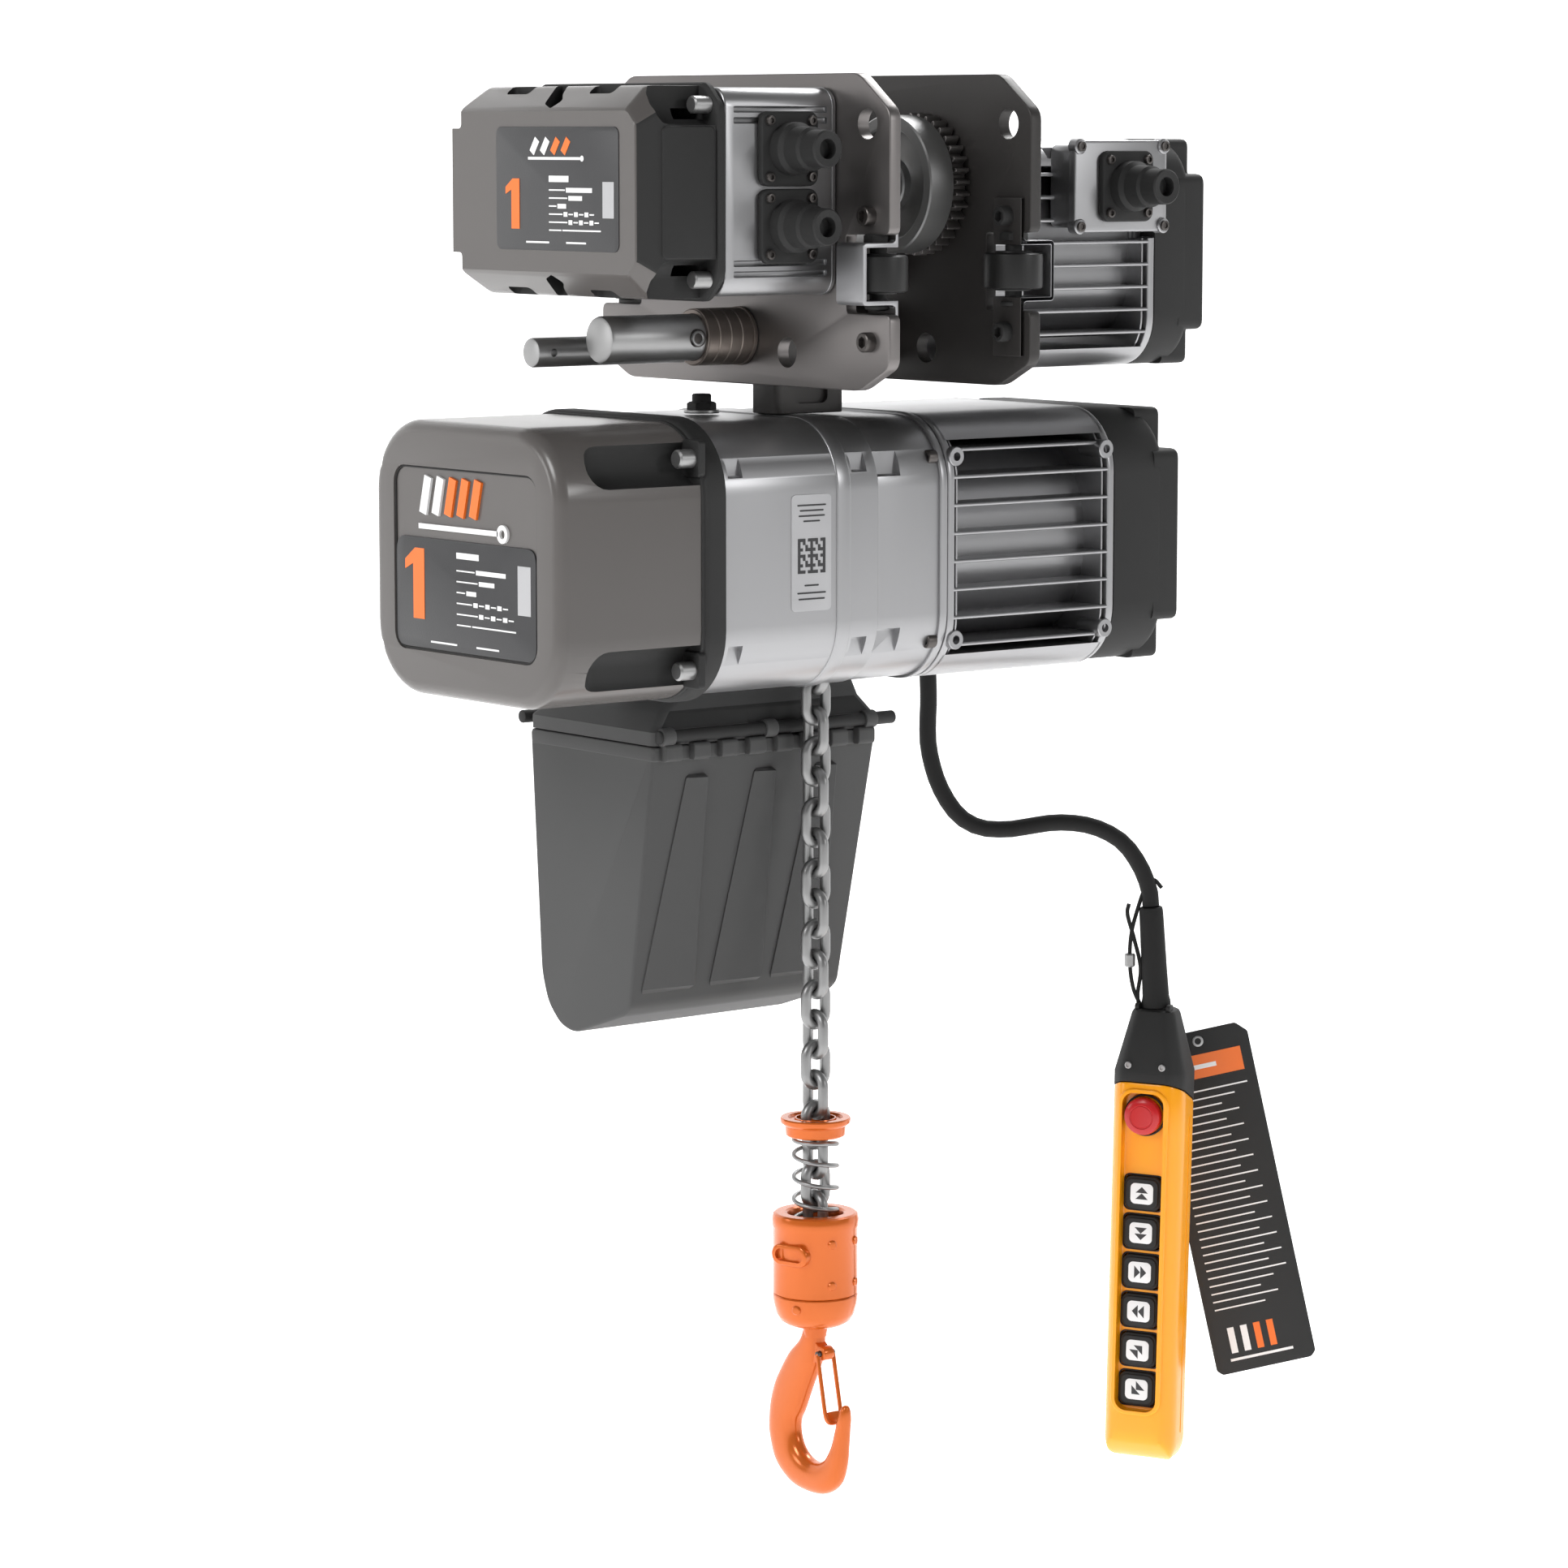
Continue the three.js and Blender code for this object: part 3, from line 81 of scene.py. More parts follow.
def softened(points, reach, steps=4):
    """Closed outline with rounded corners: corner P becomes the parabola (1-t)^2 A + 2t(1-t) P + t^2 B,
    where A and B lie at the reach along its two sides.
    """
    p = np.asarray(points, float)
    reach = np.broadcast_to(np.asarray(reach, float), len(p))[:, None]
    before, after = np.roll(p, 1, 0) - p, np.roll(p, -1, 0) - p
    a = (p + before / np.linalg.norm(before, axis=1, keepdims=True) * reach)[:, None]
    b = (p + after / np.linalg.norm(after, axis=1, keepdims=True) * reach)[:, None]
    t = np.linspace(0, 1, steps + 1)[None, :, None]
    return ((1 - t) ** 2 * a + 2 * t * (1 - t) * p[:, None] + t**2 * b).reshape(-1, 2)


def gear(teeth, root, tip, u=0.0, v=0.0, turn=0.0):
    """Closed outline of a gear: eight points a tooth, root, flank, tip and flank, at angles that are
    fractions of the pitch.
    """
    share = np.array([0.0, 0.14, 0.24, 0.36, 0.44, 0.56, 0.64, 0.76, 0.86])
    reach = np.array(
        [
            root, root, root + 0.3 * (tip - root), tip - 0.12 * (tip - root), tip, tip,
            tip - 0.12 * (tip - root), root + 0.3 * (tip - root), root
        ]
    )
    angle = ((np.arange(teeth)[:, None] + share[None, :] - 0.5) * (2 * np.pi / teeth) + turn).ravel()
    radius = np.tile(reach, teeth)
    return np.stack([u + radius * np.cos(angle), v + radius * np.sin(angle)], 1)


def inset(outline, distance):
    """Each corner of a closed outline moved inwards along the mitre of its two sides, (m + n) / (1 + m.n)
    times the distance.
    """
    p = np.asarray(outline, float)
    q = np.roll(p, -1, 0)
    side = q - p
    length = np.linalg.norm(side, axis=1, keepdims=True)
    length[length < 1e-9] = 1e-9
    side = side / length
    area = np.sum(p[:, 0] * q[:, 1] - q[:, 0] * p[:, 1])
    n = np.stack([-side[:, 1], side[:, 0]], 1) * np.sign(area)
    m = np.roll(n, 1, 0)
    return p + distance * (m + n) / np.maximum(1 + np.sum(m * n, 1, keepdims=True), 0.35)


def grid(rings, closed=False):
    """Shape of a stack of closed rings, an array (rings, points, 3): quads between neighbours and a face
    over each end, or back to the first ring.
    """
    rings = np.asarray(rings, float)
    rows, cols = rings.shape[:2]
    r = np.arange(rows if closed else rows - 1)[:, None] * cols
    s = (r + cols) % (rows * cols)
    c = np.arange(cols)[None, :]
    d = (c + 1) % cols
    faces = np.stack([r + c, r + d, s + d, s + c], -1).reshape(-1, 4).tolist()
    if not closed:
        faces += [list(range(cols))[::-1], list(range((rows - 1) * cols, rows * cols))]
    return rings.reshape(-1, 3), faces


def stack(axis, sections):
    """Shape of outlines with equally many points, each at its place along the axis."""
    order = list(AXES[axis])
    flat = np.array([np.column_stack([outline, np.full(len(outline), at)]) for at, outline in sections])
    return grid(flat[..., order])


def bar(axis, outline, low, high, rim=1.0, steps=3):
    """Shape of an outline carried from low to high, its rims rounded: at the angle t the inset is rim (1 -
    sin t) and the depth rim (1 - cos t).
    """
    rims = rim if isinstance(rim, tuple) else (rim, rim)
    t = np.linspace(0, np.pi / 2, steps + 1)
    ends = []
    for size in rims:
        ends.append(
            [(0.0, 0.0)] if size <= 0 else list(zip(size * (1 - np.cos(t)), size * (1 - np.sin(t))))
        )
    first = [(low + a, inset(outline, b)) for a, b in ends[0]]
    last = [(high - a, inset(outline, b)) for a, b in ends[1][::-1]]
    return stack(axis, first + last)


def turned(axis, profile, at=(0.0, 0.0), count=64, closed=False):
    """Shape of a profile of (radius, place along the axis) turned a whole circle round the axis through at.
    """
    profile = np.asarray(profile, float)
    t = np.arange(count)[None, :] * (2 * np.pi / count)
    flat = np.stack(
        [
            at[0] + profile[:, :1] * np.cos(t), at[1] + profile[:, :1] * np.sin(t),
            np.broadcast_to(profile[:, 1:], (len(profile), count))
        ],
        -1,
    )
    return grid(flat[..., list(AXES[axis])], closed)


def ring(axis, outer, bore, low, high, at=(0.0, 0.0), rim=0.8, count=64):
    """Shape of a turned tube with bevelled rims."""
    r, b = outer, bore
    return turned(
        axis,
        [
            (b, low + rim), (b + rim, low), (r - rim, low), (r - rim * 0.3, low + rim * 0.3),
            (r, low + rim), (r, high - rim), (r - rim * 0.3, high - rim * 0.3), (r - rim, high),
            (b + rim, high), (b, high - rim)
        ],
        at,
        count,
        True,
    )


def rod(axis, radius, low, high, at=(0.0, 0.0), rim=1.0, count=48):
    """Shape of a turned rod with rounded ends."""
    k = rim * 0.3
    return turned(
        axis,
        [
            (0, low), (radius - rim, low), (radius - k, low + k), (radius, low + rim), (radius, high - rim),
            (radius - k, high - k), (radius - rim, high), (0, high)
        ],
        at, count
    )


def smooth_path(points, count):
    """Points evenly spaced along the uniform Catmull-Rom curve through the given ones."""
    p = np.asarray(points, float)
    p = np.vstack([2 * p[0] - p[1], p, 2 * p[-1] - p[-2]])
    t = np.linspace(0, 1, 13)[:-1][None, :, None]
    a, b, c, d = (q[:, None] for q in (p[:-3], p[1:-2], p[2:-1], p[3:]))
    fine = 0.5 * (2 * b + (c - a) * t + (2 * a - 5 * b + 4 * c - d) * t**2 + (3 * b - a - 3 * c + d) * t**3)
    fine = np.vstack([fine.reshape(-1, p.shape[1]), p[-2:-1]])
    along = np.concatenate([[0], np.cumsum(np.linalg.norm(np.diff(fine, axis=0), axis=1))])
    want = np.linspace(0, along[-1], count)
    return np.stack([np.interp(want, along, fine[:, i]) for i in range(p.shape[1])], 1)


def pipe(path, radius, count=14, closed=False, section=None):
    """Shape of a circle, or a section of (across, up) points, carried along a path. The frame of each point
    is the one before it turned by the least angle onto the new direction.
    """
    p = np.asarray(path, float)
    if closed:
        ahead = np.roll(p, -1, 0) - np.roll(p, 1, 0)
    else:
        ahead = np.gradient(p, axis=0)
    ahead /= np.linalg.norm(ahead, axis=1, keepdims=True)
    start = np.cross(ahead[0], [0.31, 0.27, 0.91])
    across = [start / np.linalg.norm(start)]
    for direction in ahead[1:]:
        turn = across[-1] - direction * np.dot(across[-1], direction)
        across.append(turn / np.linalg.norm(turn))
    across = np.array(across)
    up = np.cross(ahead, across)
    if closed:
        last = across[-1] - ahead[0] * np.dot(across[-1], ahead[0])
        twist = math.atan2(
            np.dot(last, up[0]), np.dot(last, across[0])
        ) * np.linspace(0, 1, len(p))[:, None]
        c, s = np.cos(twist), np.sin(twist)
        across, up = across * c - up * s, across * s + up * c
    size = np.broadcast_to(np.asarray(radius, float), len(p))[:, None, None]
    ring_points = circle(0, 0, 1, count) if section is None else np.asarray(section, float)
    offset = ring_points[None, :, :1] * across[:, None] + ring_points[None, :, 1:] * up[:, None]
    return grid(p[:, None] + size * offset, closed)


def combine(*shapes):
    """One shape of several that stay apart."""
    verts, faces, start = [], [], 0
    for v, f in shapes:
        verts.append(v)
        faces += [[i + start for i in face] for face in f]
        start += len(v)
    return np.vstack(verts), faces


def shifted(shape, offset=(0, 0, 0), scale=(1, 1, 1), turn=None):
    """The shape scaled, turned by a 3 x 3 matrix and moved."""
    verts = shape[0] * np.asarray(scale, float)
    if turn is not None:
        verts = verts @ np.asarray(turn).T
    return verts + np.asarray(offset, float), shape[1]


def around(axis, degrees):
    """Matrix of a turn about one of the axes."""
    c, s = math.cos(math.radians(degrees)), math.sin(math.radians(degrees))
    return {
        "x": np.array([[1, 0, 0], [0, c, -s], [0, s, c]]),
        "y": np.array([[c, 0, s], [0, 1, 0], [-s, 0, c]]), "z": np.array([[c, -s, 0], [s, c, 0], [0, 0, 1]])
    }[axis]


def as_mesh(name, shapes, finishes=()):
    """Object of the shapes, with faces outwards and one material for each shape."""
    verts, faces, slots, start = [], [], [], 0
    for i, (v, f) in enumerate(shapes):
        verts.append(np.asarray(v) * MM)
        faces += [[k + start for k in face] for face in f]
        slots += [i] * len(f)
        start += len(v)
    mesh = bpy.data.meshes.new(name)
    mesh.from_pydata(np.vstack(verts).tolist(), [], faces)
    for finish in finishes:
        mesh.materials.append(bpy.data.materials[finish])
    if finishes:
        mesh.polygons.foreach_set("material_index", slots)
    bm = bmesh.new()
    bm.from_mesh(mesh)
    bmesh.ops.remove_doubles(bm, verts=bm.verts, dist=2e-6)
    bmesh.ops.recalc_face_normals(bm, faces=bm.faces)
    bm.to_mesh(mesh)
    bm.free()
    obj = bpy.data.objects.new(name, mesh)
    bpy.context.scene.collection.objects.link(obj)
    return obj


def minus(shape, *tools, split=False):
    """The shape with the tools cut out of it; split gives the old faces and the cut ones as two shapes."""
    body = as_mesh("body", [shape])
    tool = as_mesh("tool", [combine(*tools)])
    for obj, index in ((body, 0), (tool, 1)):
        obj.data.materials.append(None)
        obj.data.materials.append(None)
        obj.data.polygons.foreach_set("material_index", [index] * len(obj.data.polygons))
    cut = body.modifiers.new("cut", "BOOLEAN")
    cut.operation = "DIFFERENCE"
    cut.solver = "EXACT"
    cut.object = tool
    cut.use_self = True
    cut.material_mode = "INDEX"
    mesh = body.evaluated_get(bpy.context.evaluated_depsgraph_get()).to_mesh()
    verts = np.empty(len(mesh.vertices) * 3)
    mesh.vertices.foreach_get("co", verts)
    faces = [list(p.vertices) for p in mesh.polygons]
    made = [p.material_index == 1 for p in mesh.polygons]
    body.to_mesh_clear()
    for obj in (body, tool):
        data = obj.data
        bpy.data.objects.remove(obj)
        bpy.data.meshes.remove(data)
    if len(verts) < 12:
        raise ValueError("a cut left nothing")
    verts = verts.reshape(-1, 3) / MM
    if split:
        return (verts, [f for f, k in zip(faces, made) if not k]), (
            verts, [f for f, k in zip(faces, made) if k]
        )
    return verts, faces


def bevel_edges(edge, width, angle):
    """Sets a bevel of two segments, width metres wide, on edges sharper than angle degrees."""
    edge.width = width
    edge.segments = 2
    edge.limit_method = "ANGLE"
    edge.angle_limit = math.radians(angle)



def piece(name, parts, body=ROOT, stands_for=(), bevel=0.0, angle=32.0):
    """A finished piece of (shape, finish) parts that rides on a body and stands for CAD nodes."""
    finishes = list(dict.fromkeys(finish for _, finish in parts))
    merged = [combine(*[shape for shape, finish in parts if finish == wanted]) for wanted in finishes]
    obj = as_mesh(name, merged, finishes)
    obj.data.shade_smooth()
    obj.data.set_sharp_from_angle(angle=math.radians(angle))
    if bevel:
        edge = obj.modifiers.new("rounded edges", "BEVEL")
        bevel_edges(edge, bevel * MM, 35)
        edge.harden_normals = True
    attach(obj, body)
    if stands_for:
        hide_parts(*([stands_for] if isinstance(stands_for, str) else stands_for))
    return obj


def socket_screw(axis, at, base, height, radius, out=1):
    """Socket-head screw: a turned head with a rounded rim and a six-sided socket sunk into it. at is across
    the axis; out is the way that it faces.
    """
    t = np.arange(36) * (2 * np.pi / 36)
    sector = (t + np.pi / 6) % (np.pi / 3) - np.pi / 6
    hexagon = np.stack([np.cos(t), np.sin(t)], 1) / np.cos(sector)[:, None] * radius * 0.5
    round_ = circle(0, 0, 1, 36)
    rows = [
        (0, round_ * radius), (height * 0.8, round_ * radius), (height * 0.94, round_ * radius * 0.95),
        (height, round_ * radius * 0.86), (height, hexagon * 1.06), (height - 0.6, hexagon),
        (height * 0.45, hexagon)
    ]
    return stack(axis, [(base + out * w, o + np.asarray(at)) for w, o in rows])


def hex_head(axis, at, base, height, radius, out=1):
    """Six-sided head whose corners are chamfered towards its face."""
    t = np.arange(48) * (2 * np.pi / 48)
    sector = (t + np.pi / 6) % (np.pi / 3) - np.pi / 6
    side = np.stack([np.cos(t), np.sin(t)], 1) / np.cos(sector)[:, None] * radius * math.cos(np.pi / 6)
    round_ = circle(0, 0, radius * 0.84, 48)
    rows = [(0, side), (height * 0.8, side), (height, round_)]
    return stack(axis, [(base + out * w, o + np.asarray(at)) for w, o in rows])


# Materials.


def srgb(r, g, b):
    """Scene colour of an 8-bit screen colour: ((c + 0.055) / 1.055) to the power 2.4."""
    c = np.array([r, g, b]) / 255
    return (*np.where(c <= 0.04045, c / 12.92, ((c + 0.055) / 1.055) ** 2.4).tolist(), 1.0)


def new_group(name, inputs, outputs):
    """Empty shader node group with named (kind, name, default) sockets."""
    tree = bpy.data.node_groups.new(name, "ShaderNodeTree")
    for kind, label, default in inputs:
        socket = tree.interface.new_socket(label, in_out="INPUT", socket_type=kind)
        if default is not None:
            socket.default_value = default
    for kind, label in outputs:
        tree.interface.new_socket(label, in_out="OUTPUT", socket_type=kind)
    return tree, tree.nodes.new("NodeGroupInput"), tree.nodes.new("NodeGroupOutput")


def noise(tree, vector, scale, detail, rough=0.55):
    node = tree.nodes.new("ShaderNodeTexNoise")
    node.inputs["Detail"].default_value = detail
    node.inputs["Roughness"].default_value = rough
    tree.links.new(vector, node.inputs["Vector"])
    if isinstance(scale, (int, float)):
        node.inputs["Scale"].default_value = scale
    else:
        tree.links.new(scale, node.inputs["Scale"])
    return node.outputs["Fac"]


def maths(tree, operation, a, b):
    node = tree.nodes.new("ShaderNodeMath")
    node.operation = operation
    for value, socket in zip((a, b), node.inputs):
        if isinstance(value, (int, float)):
            socket.default_value = value
        else:
            tree.links.new(value, socket)
    return node.outputs[0]


def ramp(tree, value, low, high):
    node = tree.nodes.new("ShaderNodeMapRange")
    node.inputs["From Min"].default_value, node.inputs["From Max"].default_value = low, high
    tree.links.new(value, node.inputs["Value"])
    return node.outputs["Result"]


def mixed(tree, factor, a, b):
    node = tree.nodes.new("ShaderNodeMix")
    node.data_type = "RGBA"
    for value, socket in zip((factor, a, b), (node.inputs[0], node.inputs[6], node.inputs[7])):
        if isinstance(value, (int, float, tuple)):
            socket.default_value = value
        else:
            tree.links.new(value, socket)
    return node.outputs[2]


def build_groups():
    """Grain: fine bumps as a normal. Tone: broad light and dark patches. Wear: rubbed edges, from the
    pointiness of the surface broken up by noise. Dust: settles on what faces up.
    """
    v, f, c = "NodeSocketVector", "NodeSocketFloat", "NodeSocketColor"
    tree, given, out = new_group(
        "Grain", [(v, "Vector", None), (f, "Scale", 900.0), (f, "Strength", 0.1)],
        [(v, "Normal"), (f, "Height")]
    )
    fine = noise(tree, given.outputs["Vector"], given.outputs["Scale"], 4)
    bump = tree.nodes.new("ShaderNodeBump")
    bump.inputs["Distance"].default_value = 0.0006
    tree.links.new(given.outputs["Strength"], bump.inputs["Strength"])
    tree.links.new(fine, bump.inputs["Height"])
    tree.links.new(bump.outputs["Normal"], out.inputs["Normal"])
    tree.links.new(fine, out.inputs["Height"])

    tree, given, out = new_group(
        "Tone", [(v, "Vector", None), (c, "Color", None), (f, "Scale", 14.0), (f, "Spread", 0.2)],
        [(c, "Color"), (f, "Mask")]
    )
    patch = noise(tree, given.outputs["Vector"], given.outputs["Scale"], 5, 0.6)
    mask = ramp(tree, patch, 0.32, 0.68)
    swing = maths(tree, "MULTIPLY", maths(tree, "SUBTRACT", mask, 0.5), given.outputs["Spread"])
    bright = tree.nodes.new("ShaderNodeHueSaturation")
    tree.links.new(maths(tree, "ADD", swing, 1.0), bright.inputs["Value"])
    tree.links.new(given.outputs["Color"], bright.inputs["Color"])
    tree.links.new(bright.outputs["Color"], out.inputs["Color"])
    tree.links.new(mask, out.inputs["Mask"])

    tree, given, out = new_group(
        "Wear", [(v, "Vector", None), (f, "Amount", 0.3), (c, "Color", None), (c, "Worn", None)],
        [(c, "Color"), (f, "Mask")]
    )
    point = tree.nodes.new("ShaderNodeNewGeometry").outputs["Pointiness"]
    edge = ramp(tree, point, 0.52, 0.6)
    broken = ramp(tree, noise(tree, given.outputs["Vector"], 160.0, 6, 0.7), 0.42, 0.62)
    mask = maths(tree, "MULTIPLY", maths(tree, "MULTIPLY", edge, broken), given.outputs["Amount"])
    tree.links.new(mixed(tree, mask, given.outputs["Color"], given.outputs["Worn"]), out.inputs["Color"])
    tree.links.new(mask, out.inputs["Mask"])

    tree, given, out = new_group(
        "Dust", [(v, "Vector", None), (f, "Amount", 0.1), (c, "Color", None)], [(c, "Color"), (f, "Mask")]
    )
    split = tree.nodes.new("ShaderNodeSeparateXYZ")
    tree.links.new(tree.nodes.new("ShaderNodeNewGeometry").outputs["Normal"], split.inputs[0])
    facing = ramp(tree, split.outputs["Z"], 0.2, 1.0)
    specks = ramp(tree, noise(tree, given.outputs["Vector"], 90.0, 8, 0.7), 0.35, 0.75)
    mask = maths(tree, "MULTIPLY", maths(tree, "MULTIPLY", facing, specks), given.outputs["Amount"])
    tree.links.new(mixed(tree, mask, given.outputs["Color"], srgb(196, 190, 182)), out.inputs["Color"])
    tree.links.new(mask, out.inputs["Mask"])


def finish(
    name, colour, rough, metal=0.0, grain=(900.0, 0.1), tone=(14.0, 0.2), wear=0.0, worn=(200, 198, 194),
    dust=0.06, coat=0.0, stretch=(1, 1, 1), spread=0.12, shine=0.5
):
    """Procedural material: the base colour passes through Tone, Wear and Dust, the roughness follows the
    Tone and Dust masks, and Grain gives the normal.
    """
    mat = bpy.data.materials.new(name)
    mat.use_nodes = True
    tree = mat.node_tree
    shader = tree.nodes["Principled BSDF"]
    place = tree.nodes.new("ShaderNodeMapping")
    place.inputs["Scale"].default_value = stretch
    tree.links.new(tree.nodes.new("ShaderNodeTexCoord").outputs["Object"], place.inputs["Vector"])

    def group(kind, **values):
        node = tree.nodes.new("ShaderNodeGroup")
        node.node_tree = bpy.data.node_groups[kind]
        tree.links.new(place.outputs["Vector"], node.inputs["Vector"])
        for key, value in values.items():
            if isinstance(value, (int, float, tuple)):
                node.inputs[key].default_value = value
            else:
                tree.links.new(value, node.inputs[key])
        return node

    toned = group("Tone", Color=srgb(*colour), Scale=tone[0], Spread=tone[1])
    worn_ = group("Wear", Amount=wear, Color=toned.outputs["Color"], Worn=srgb(*worn))
    dusty = group("Dust", Amount=dust, Color=worn_.outputs["Color"])
    tree.links.new(dusty.outputs["Color"], shader.inputs["Base Color"])
    shift = maths(tree, "MULTIPLY", maths(tree, "SUBTRACT", toned.outputs["Mask"], 0.5), spread)
    rough_ = maths(
        tree, "ADD", maths(tree, "ADD", shift, rough), maths(tree, "MULTIPLY", dusty.outputs["Mask"], 0.5)
    )
    tree.links.new(rough_, shader.inputs["Roughness"])
    shader.inputs["Metallic"].default_value = metal
    shader.inputs["Specular IOR Level"].default_value = shine
    shader.inputs["Coat Weight"].default_value = coat
    shader.inputs["Coat Roughness"].default_value = 0.12
    tree.links.new(
        group("Grain", Scale=grain[0], Strength=grain[1]).outputs["Normal"], shader.inputs["Normal"]
    )
    return mat


# The finish of each kind of surface. The CAD's own materials come in under most of these names, and
# they are made first, so a look-up by such a name finds the CAD's plain material. Of the finishes made
# here, only the darker plate steel (painted shade) and the print ones have names of their own and are worn
# by a piece.
FINISHES = {
    "dark_paint": dict(
        colour=(62, 59, 57), rough=0.42, metal=0.1, grain=(1500.0, 0.25), tone=(9.0, 0.12), wear=0.1
    ),
    "cast_aluminium": dict(
        colour=(120, 121, 124), rough=0.52, metal=0.4, grain=(1100.0, 0.3), tone=(20.0, 0.16), wear=0.15,
        worn=(232, 232, 230)
    ),
    "black_plastic": dict(
        colour=(10, 10, 11), rough=0.38, grain=(1700.0, 0.16), tone=(12.0, 0.2), wear=0.04,
        worn=(92, 92, 92), shine=0.25
    ),
    "plate_steel": dict(
        colour=(112, 107, 103), rough=0.46, metal=0.6, grain=(700.0, 0.12), tone=(12.0, 0.26), wear=0.2,
        stretch=(1, 1, 0.5), spread=0.2
    ),
    # The darker copy of the plate steel is painted shade. The far side plate wears it because it lies in
    # the shadow of the near parts, and so do the bracket strips between the plates. The hanging lug wears
    # it too.
    "plate_dark": dict(
        colour=(52, 50, 49), rough=0.44, metal=0.3, grain=(700.0, 0.08), tone=(5.0, 0.14), wear=0.0,
        spread=0.06
    ),
    "wheel_steel": dict(
        colour=(150, 146, 142), rough=0.36, metal=0.85, grain=(800.0, 0.1), tone=(30.0, 0.3), wear=0.5,
        spread=0.2
    ),
    "ground_steel": dict(
        colour=(214, 213, 210), rough=0.22, metal=1.0, grain=(500.0, 0.06), tone=(40.0, 0.12),
        stretch=(4, 1, 1)
    ),
    "dark_steel": dict(
        colour=(66, 63, 60), rough=0.36, metal=0.75, grain=(900.0, 0.08), tone=(30.0, 0.3), wear=0.4
    ),
    "bronzed_steel": dict(
        colour=(126, 112, 100), rough=0.32, metal=0.9, grain=(600.0, 0.1), tone=(26.0, 0.34), wear=0.4,
        stretch=(3, 1, 1), spread=0.2
    ),
    "roller_black": dict(
        colour=(36, 36, 38), rough=0.42, metal=0.35, grain=(1000.0, 0.1), tone=(24.0, 0.3), wear=0.35,
        worn=(150, 150, 150)
    ),
    "bracket_steel": dict(
        colour=(184, 185, 186), rough=0.34, metal=0.85, grain=(900.0, 0.1), tone=(22.0, 0.2), wear=0.3
    ),
    "bucket_plastic": dict(
        colour=(62, 62, 63), rough=0.52, grain=(1600.0, 0.22), tone=(7.0, 0.12), wear=0.08,
        worn=(130, 130, 130), shine=0.35
    ),
    "chain_steel": dict(
        colour=(112, 111, 109), rough=0.22, metal=1.0, grain=(700.0, 0.08), tone=(60.0, 0.3), spread=0.16
    ),
    "orange_paint": dict(
        colour=(134, 40, 5), rough=0.3, metal=0.2, grain=(1200.0, 0.06), tone=(18.0, 0.16), wear=0.1,
        worn=(240, 160, 100), coat=0.25
    ),
    "yellow_plastic": dict(
        colour=(240, 124, 1), rough=0.34, grain=(1700.0, 0.1), tone=(10.0, 0.06), wear=0.05,
        worn=(255, 190, 90), coat=0.1, shine=0.3
    ),
    "red_plastic": dict(
        colour=(204, 26, 30), rough=0.32, grain=(1500.0, 0.08), tone=(30.0, 0.1), coat=0.15
    ),
    "cable_rubber": dict(colour=(6, 6, 7), rough=0.5, grain=(1400.0, 0.14), tone=(30.0, 0.3), shine=0.12),
    "card_plastic": dict(
        colour=(12, 12, 12), rough=0.36, grain=(1200.0, 0.06), tone=(12.0, 0.16), shine=0.25
    ),
    "print_black": dict(colour=(44, 44, 46), rough=0.34, tone=(12.0, 0.08)),
    "print_white": dict(colour=(236, 236, 236), rough=0.4, tone=(12.0, 0.04)),
    "print_orange": dict(colour=(238, 112, 26), rough=0.36, tone=(12.0, 0.06)),
    "print_grey": dict(colour=(176, 176, 178), rough=0.4, tone=(12.0, 0.06)),
}


class HoistSizes(bpy.types.PropertyGroup):
    """Sizes of the pieces that the CAD doesn't set."""

    wire: bpy.props.FloatProperty(
        name="Chain wire", description="Diameter of the wire of the load chain, in millimetres",
        default=7.3, min=4, max=10
    )
    fin: bpy.props.FloatProperty(
        name="Fin thickness", description="Thickness of a cooling fin, in millimetres", default=2.6, min=1,
        max=5
    )
    teeth: bpy.props.IntProperty(
        name="Wheel teeth", description="Teeth of each driven wheel", default=36, min=12, max=60
    )


class CableSizes(bpy.types.PropertyGroup):
    """Sizes of the control cable."""

    diameter: bpy.props.FloatProperty(
        name="Diameter", description="Diameter of the cable", default=0.0125, min=0.004, max=0.02,
        subtype="DISTANCE", unit="LENGTH"
    )
    length: bpy.props.FloatProperty(
        name="Length", description="Length of the cable from the gland to the pendant's sleeve",
        default=2.55, min=1, max=6, subtype="DISTANCE", unit="LENGTH"
    )


class StageSettings(bpy.types.PropertyGroup):
    """Floor, light and camera."""

    floor: bpy.props.FloatProperty(
        name="Floor height", description="Height of the floor", default=-1.35, max=-0.9, subtype="DISTANCE",
        unit="LENGTH"
    )
    lens: bpy.props.FloatProperty(
        name="Lens", description="Focal length of the camera, in millimetres", default=115.34, min=20,
        max=300
    )
    key: bpy.props.FloatProperty(
        name="Key light", description="Power of the key light, in watts", default=70.0, min=0, max=1000
    )


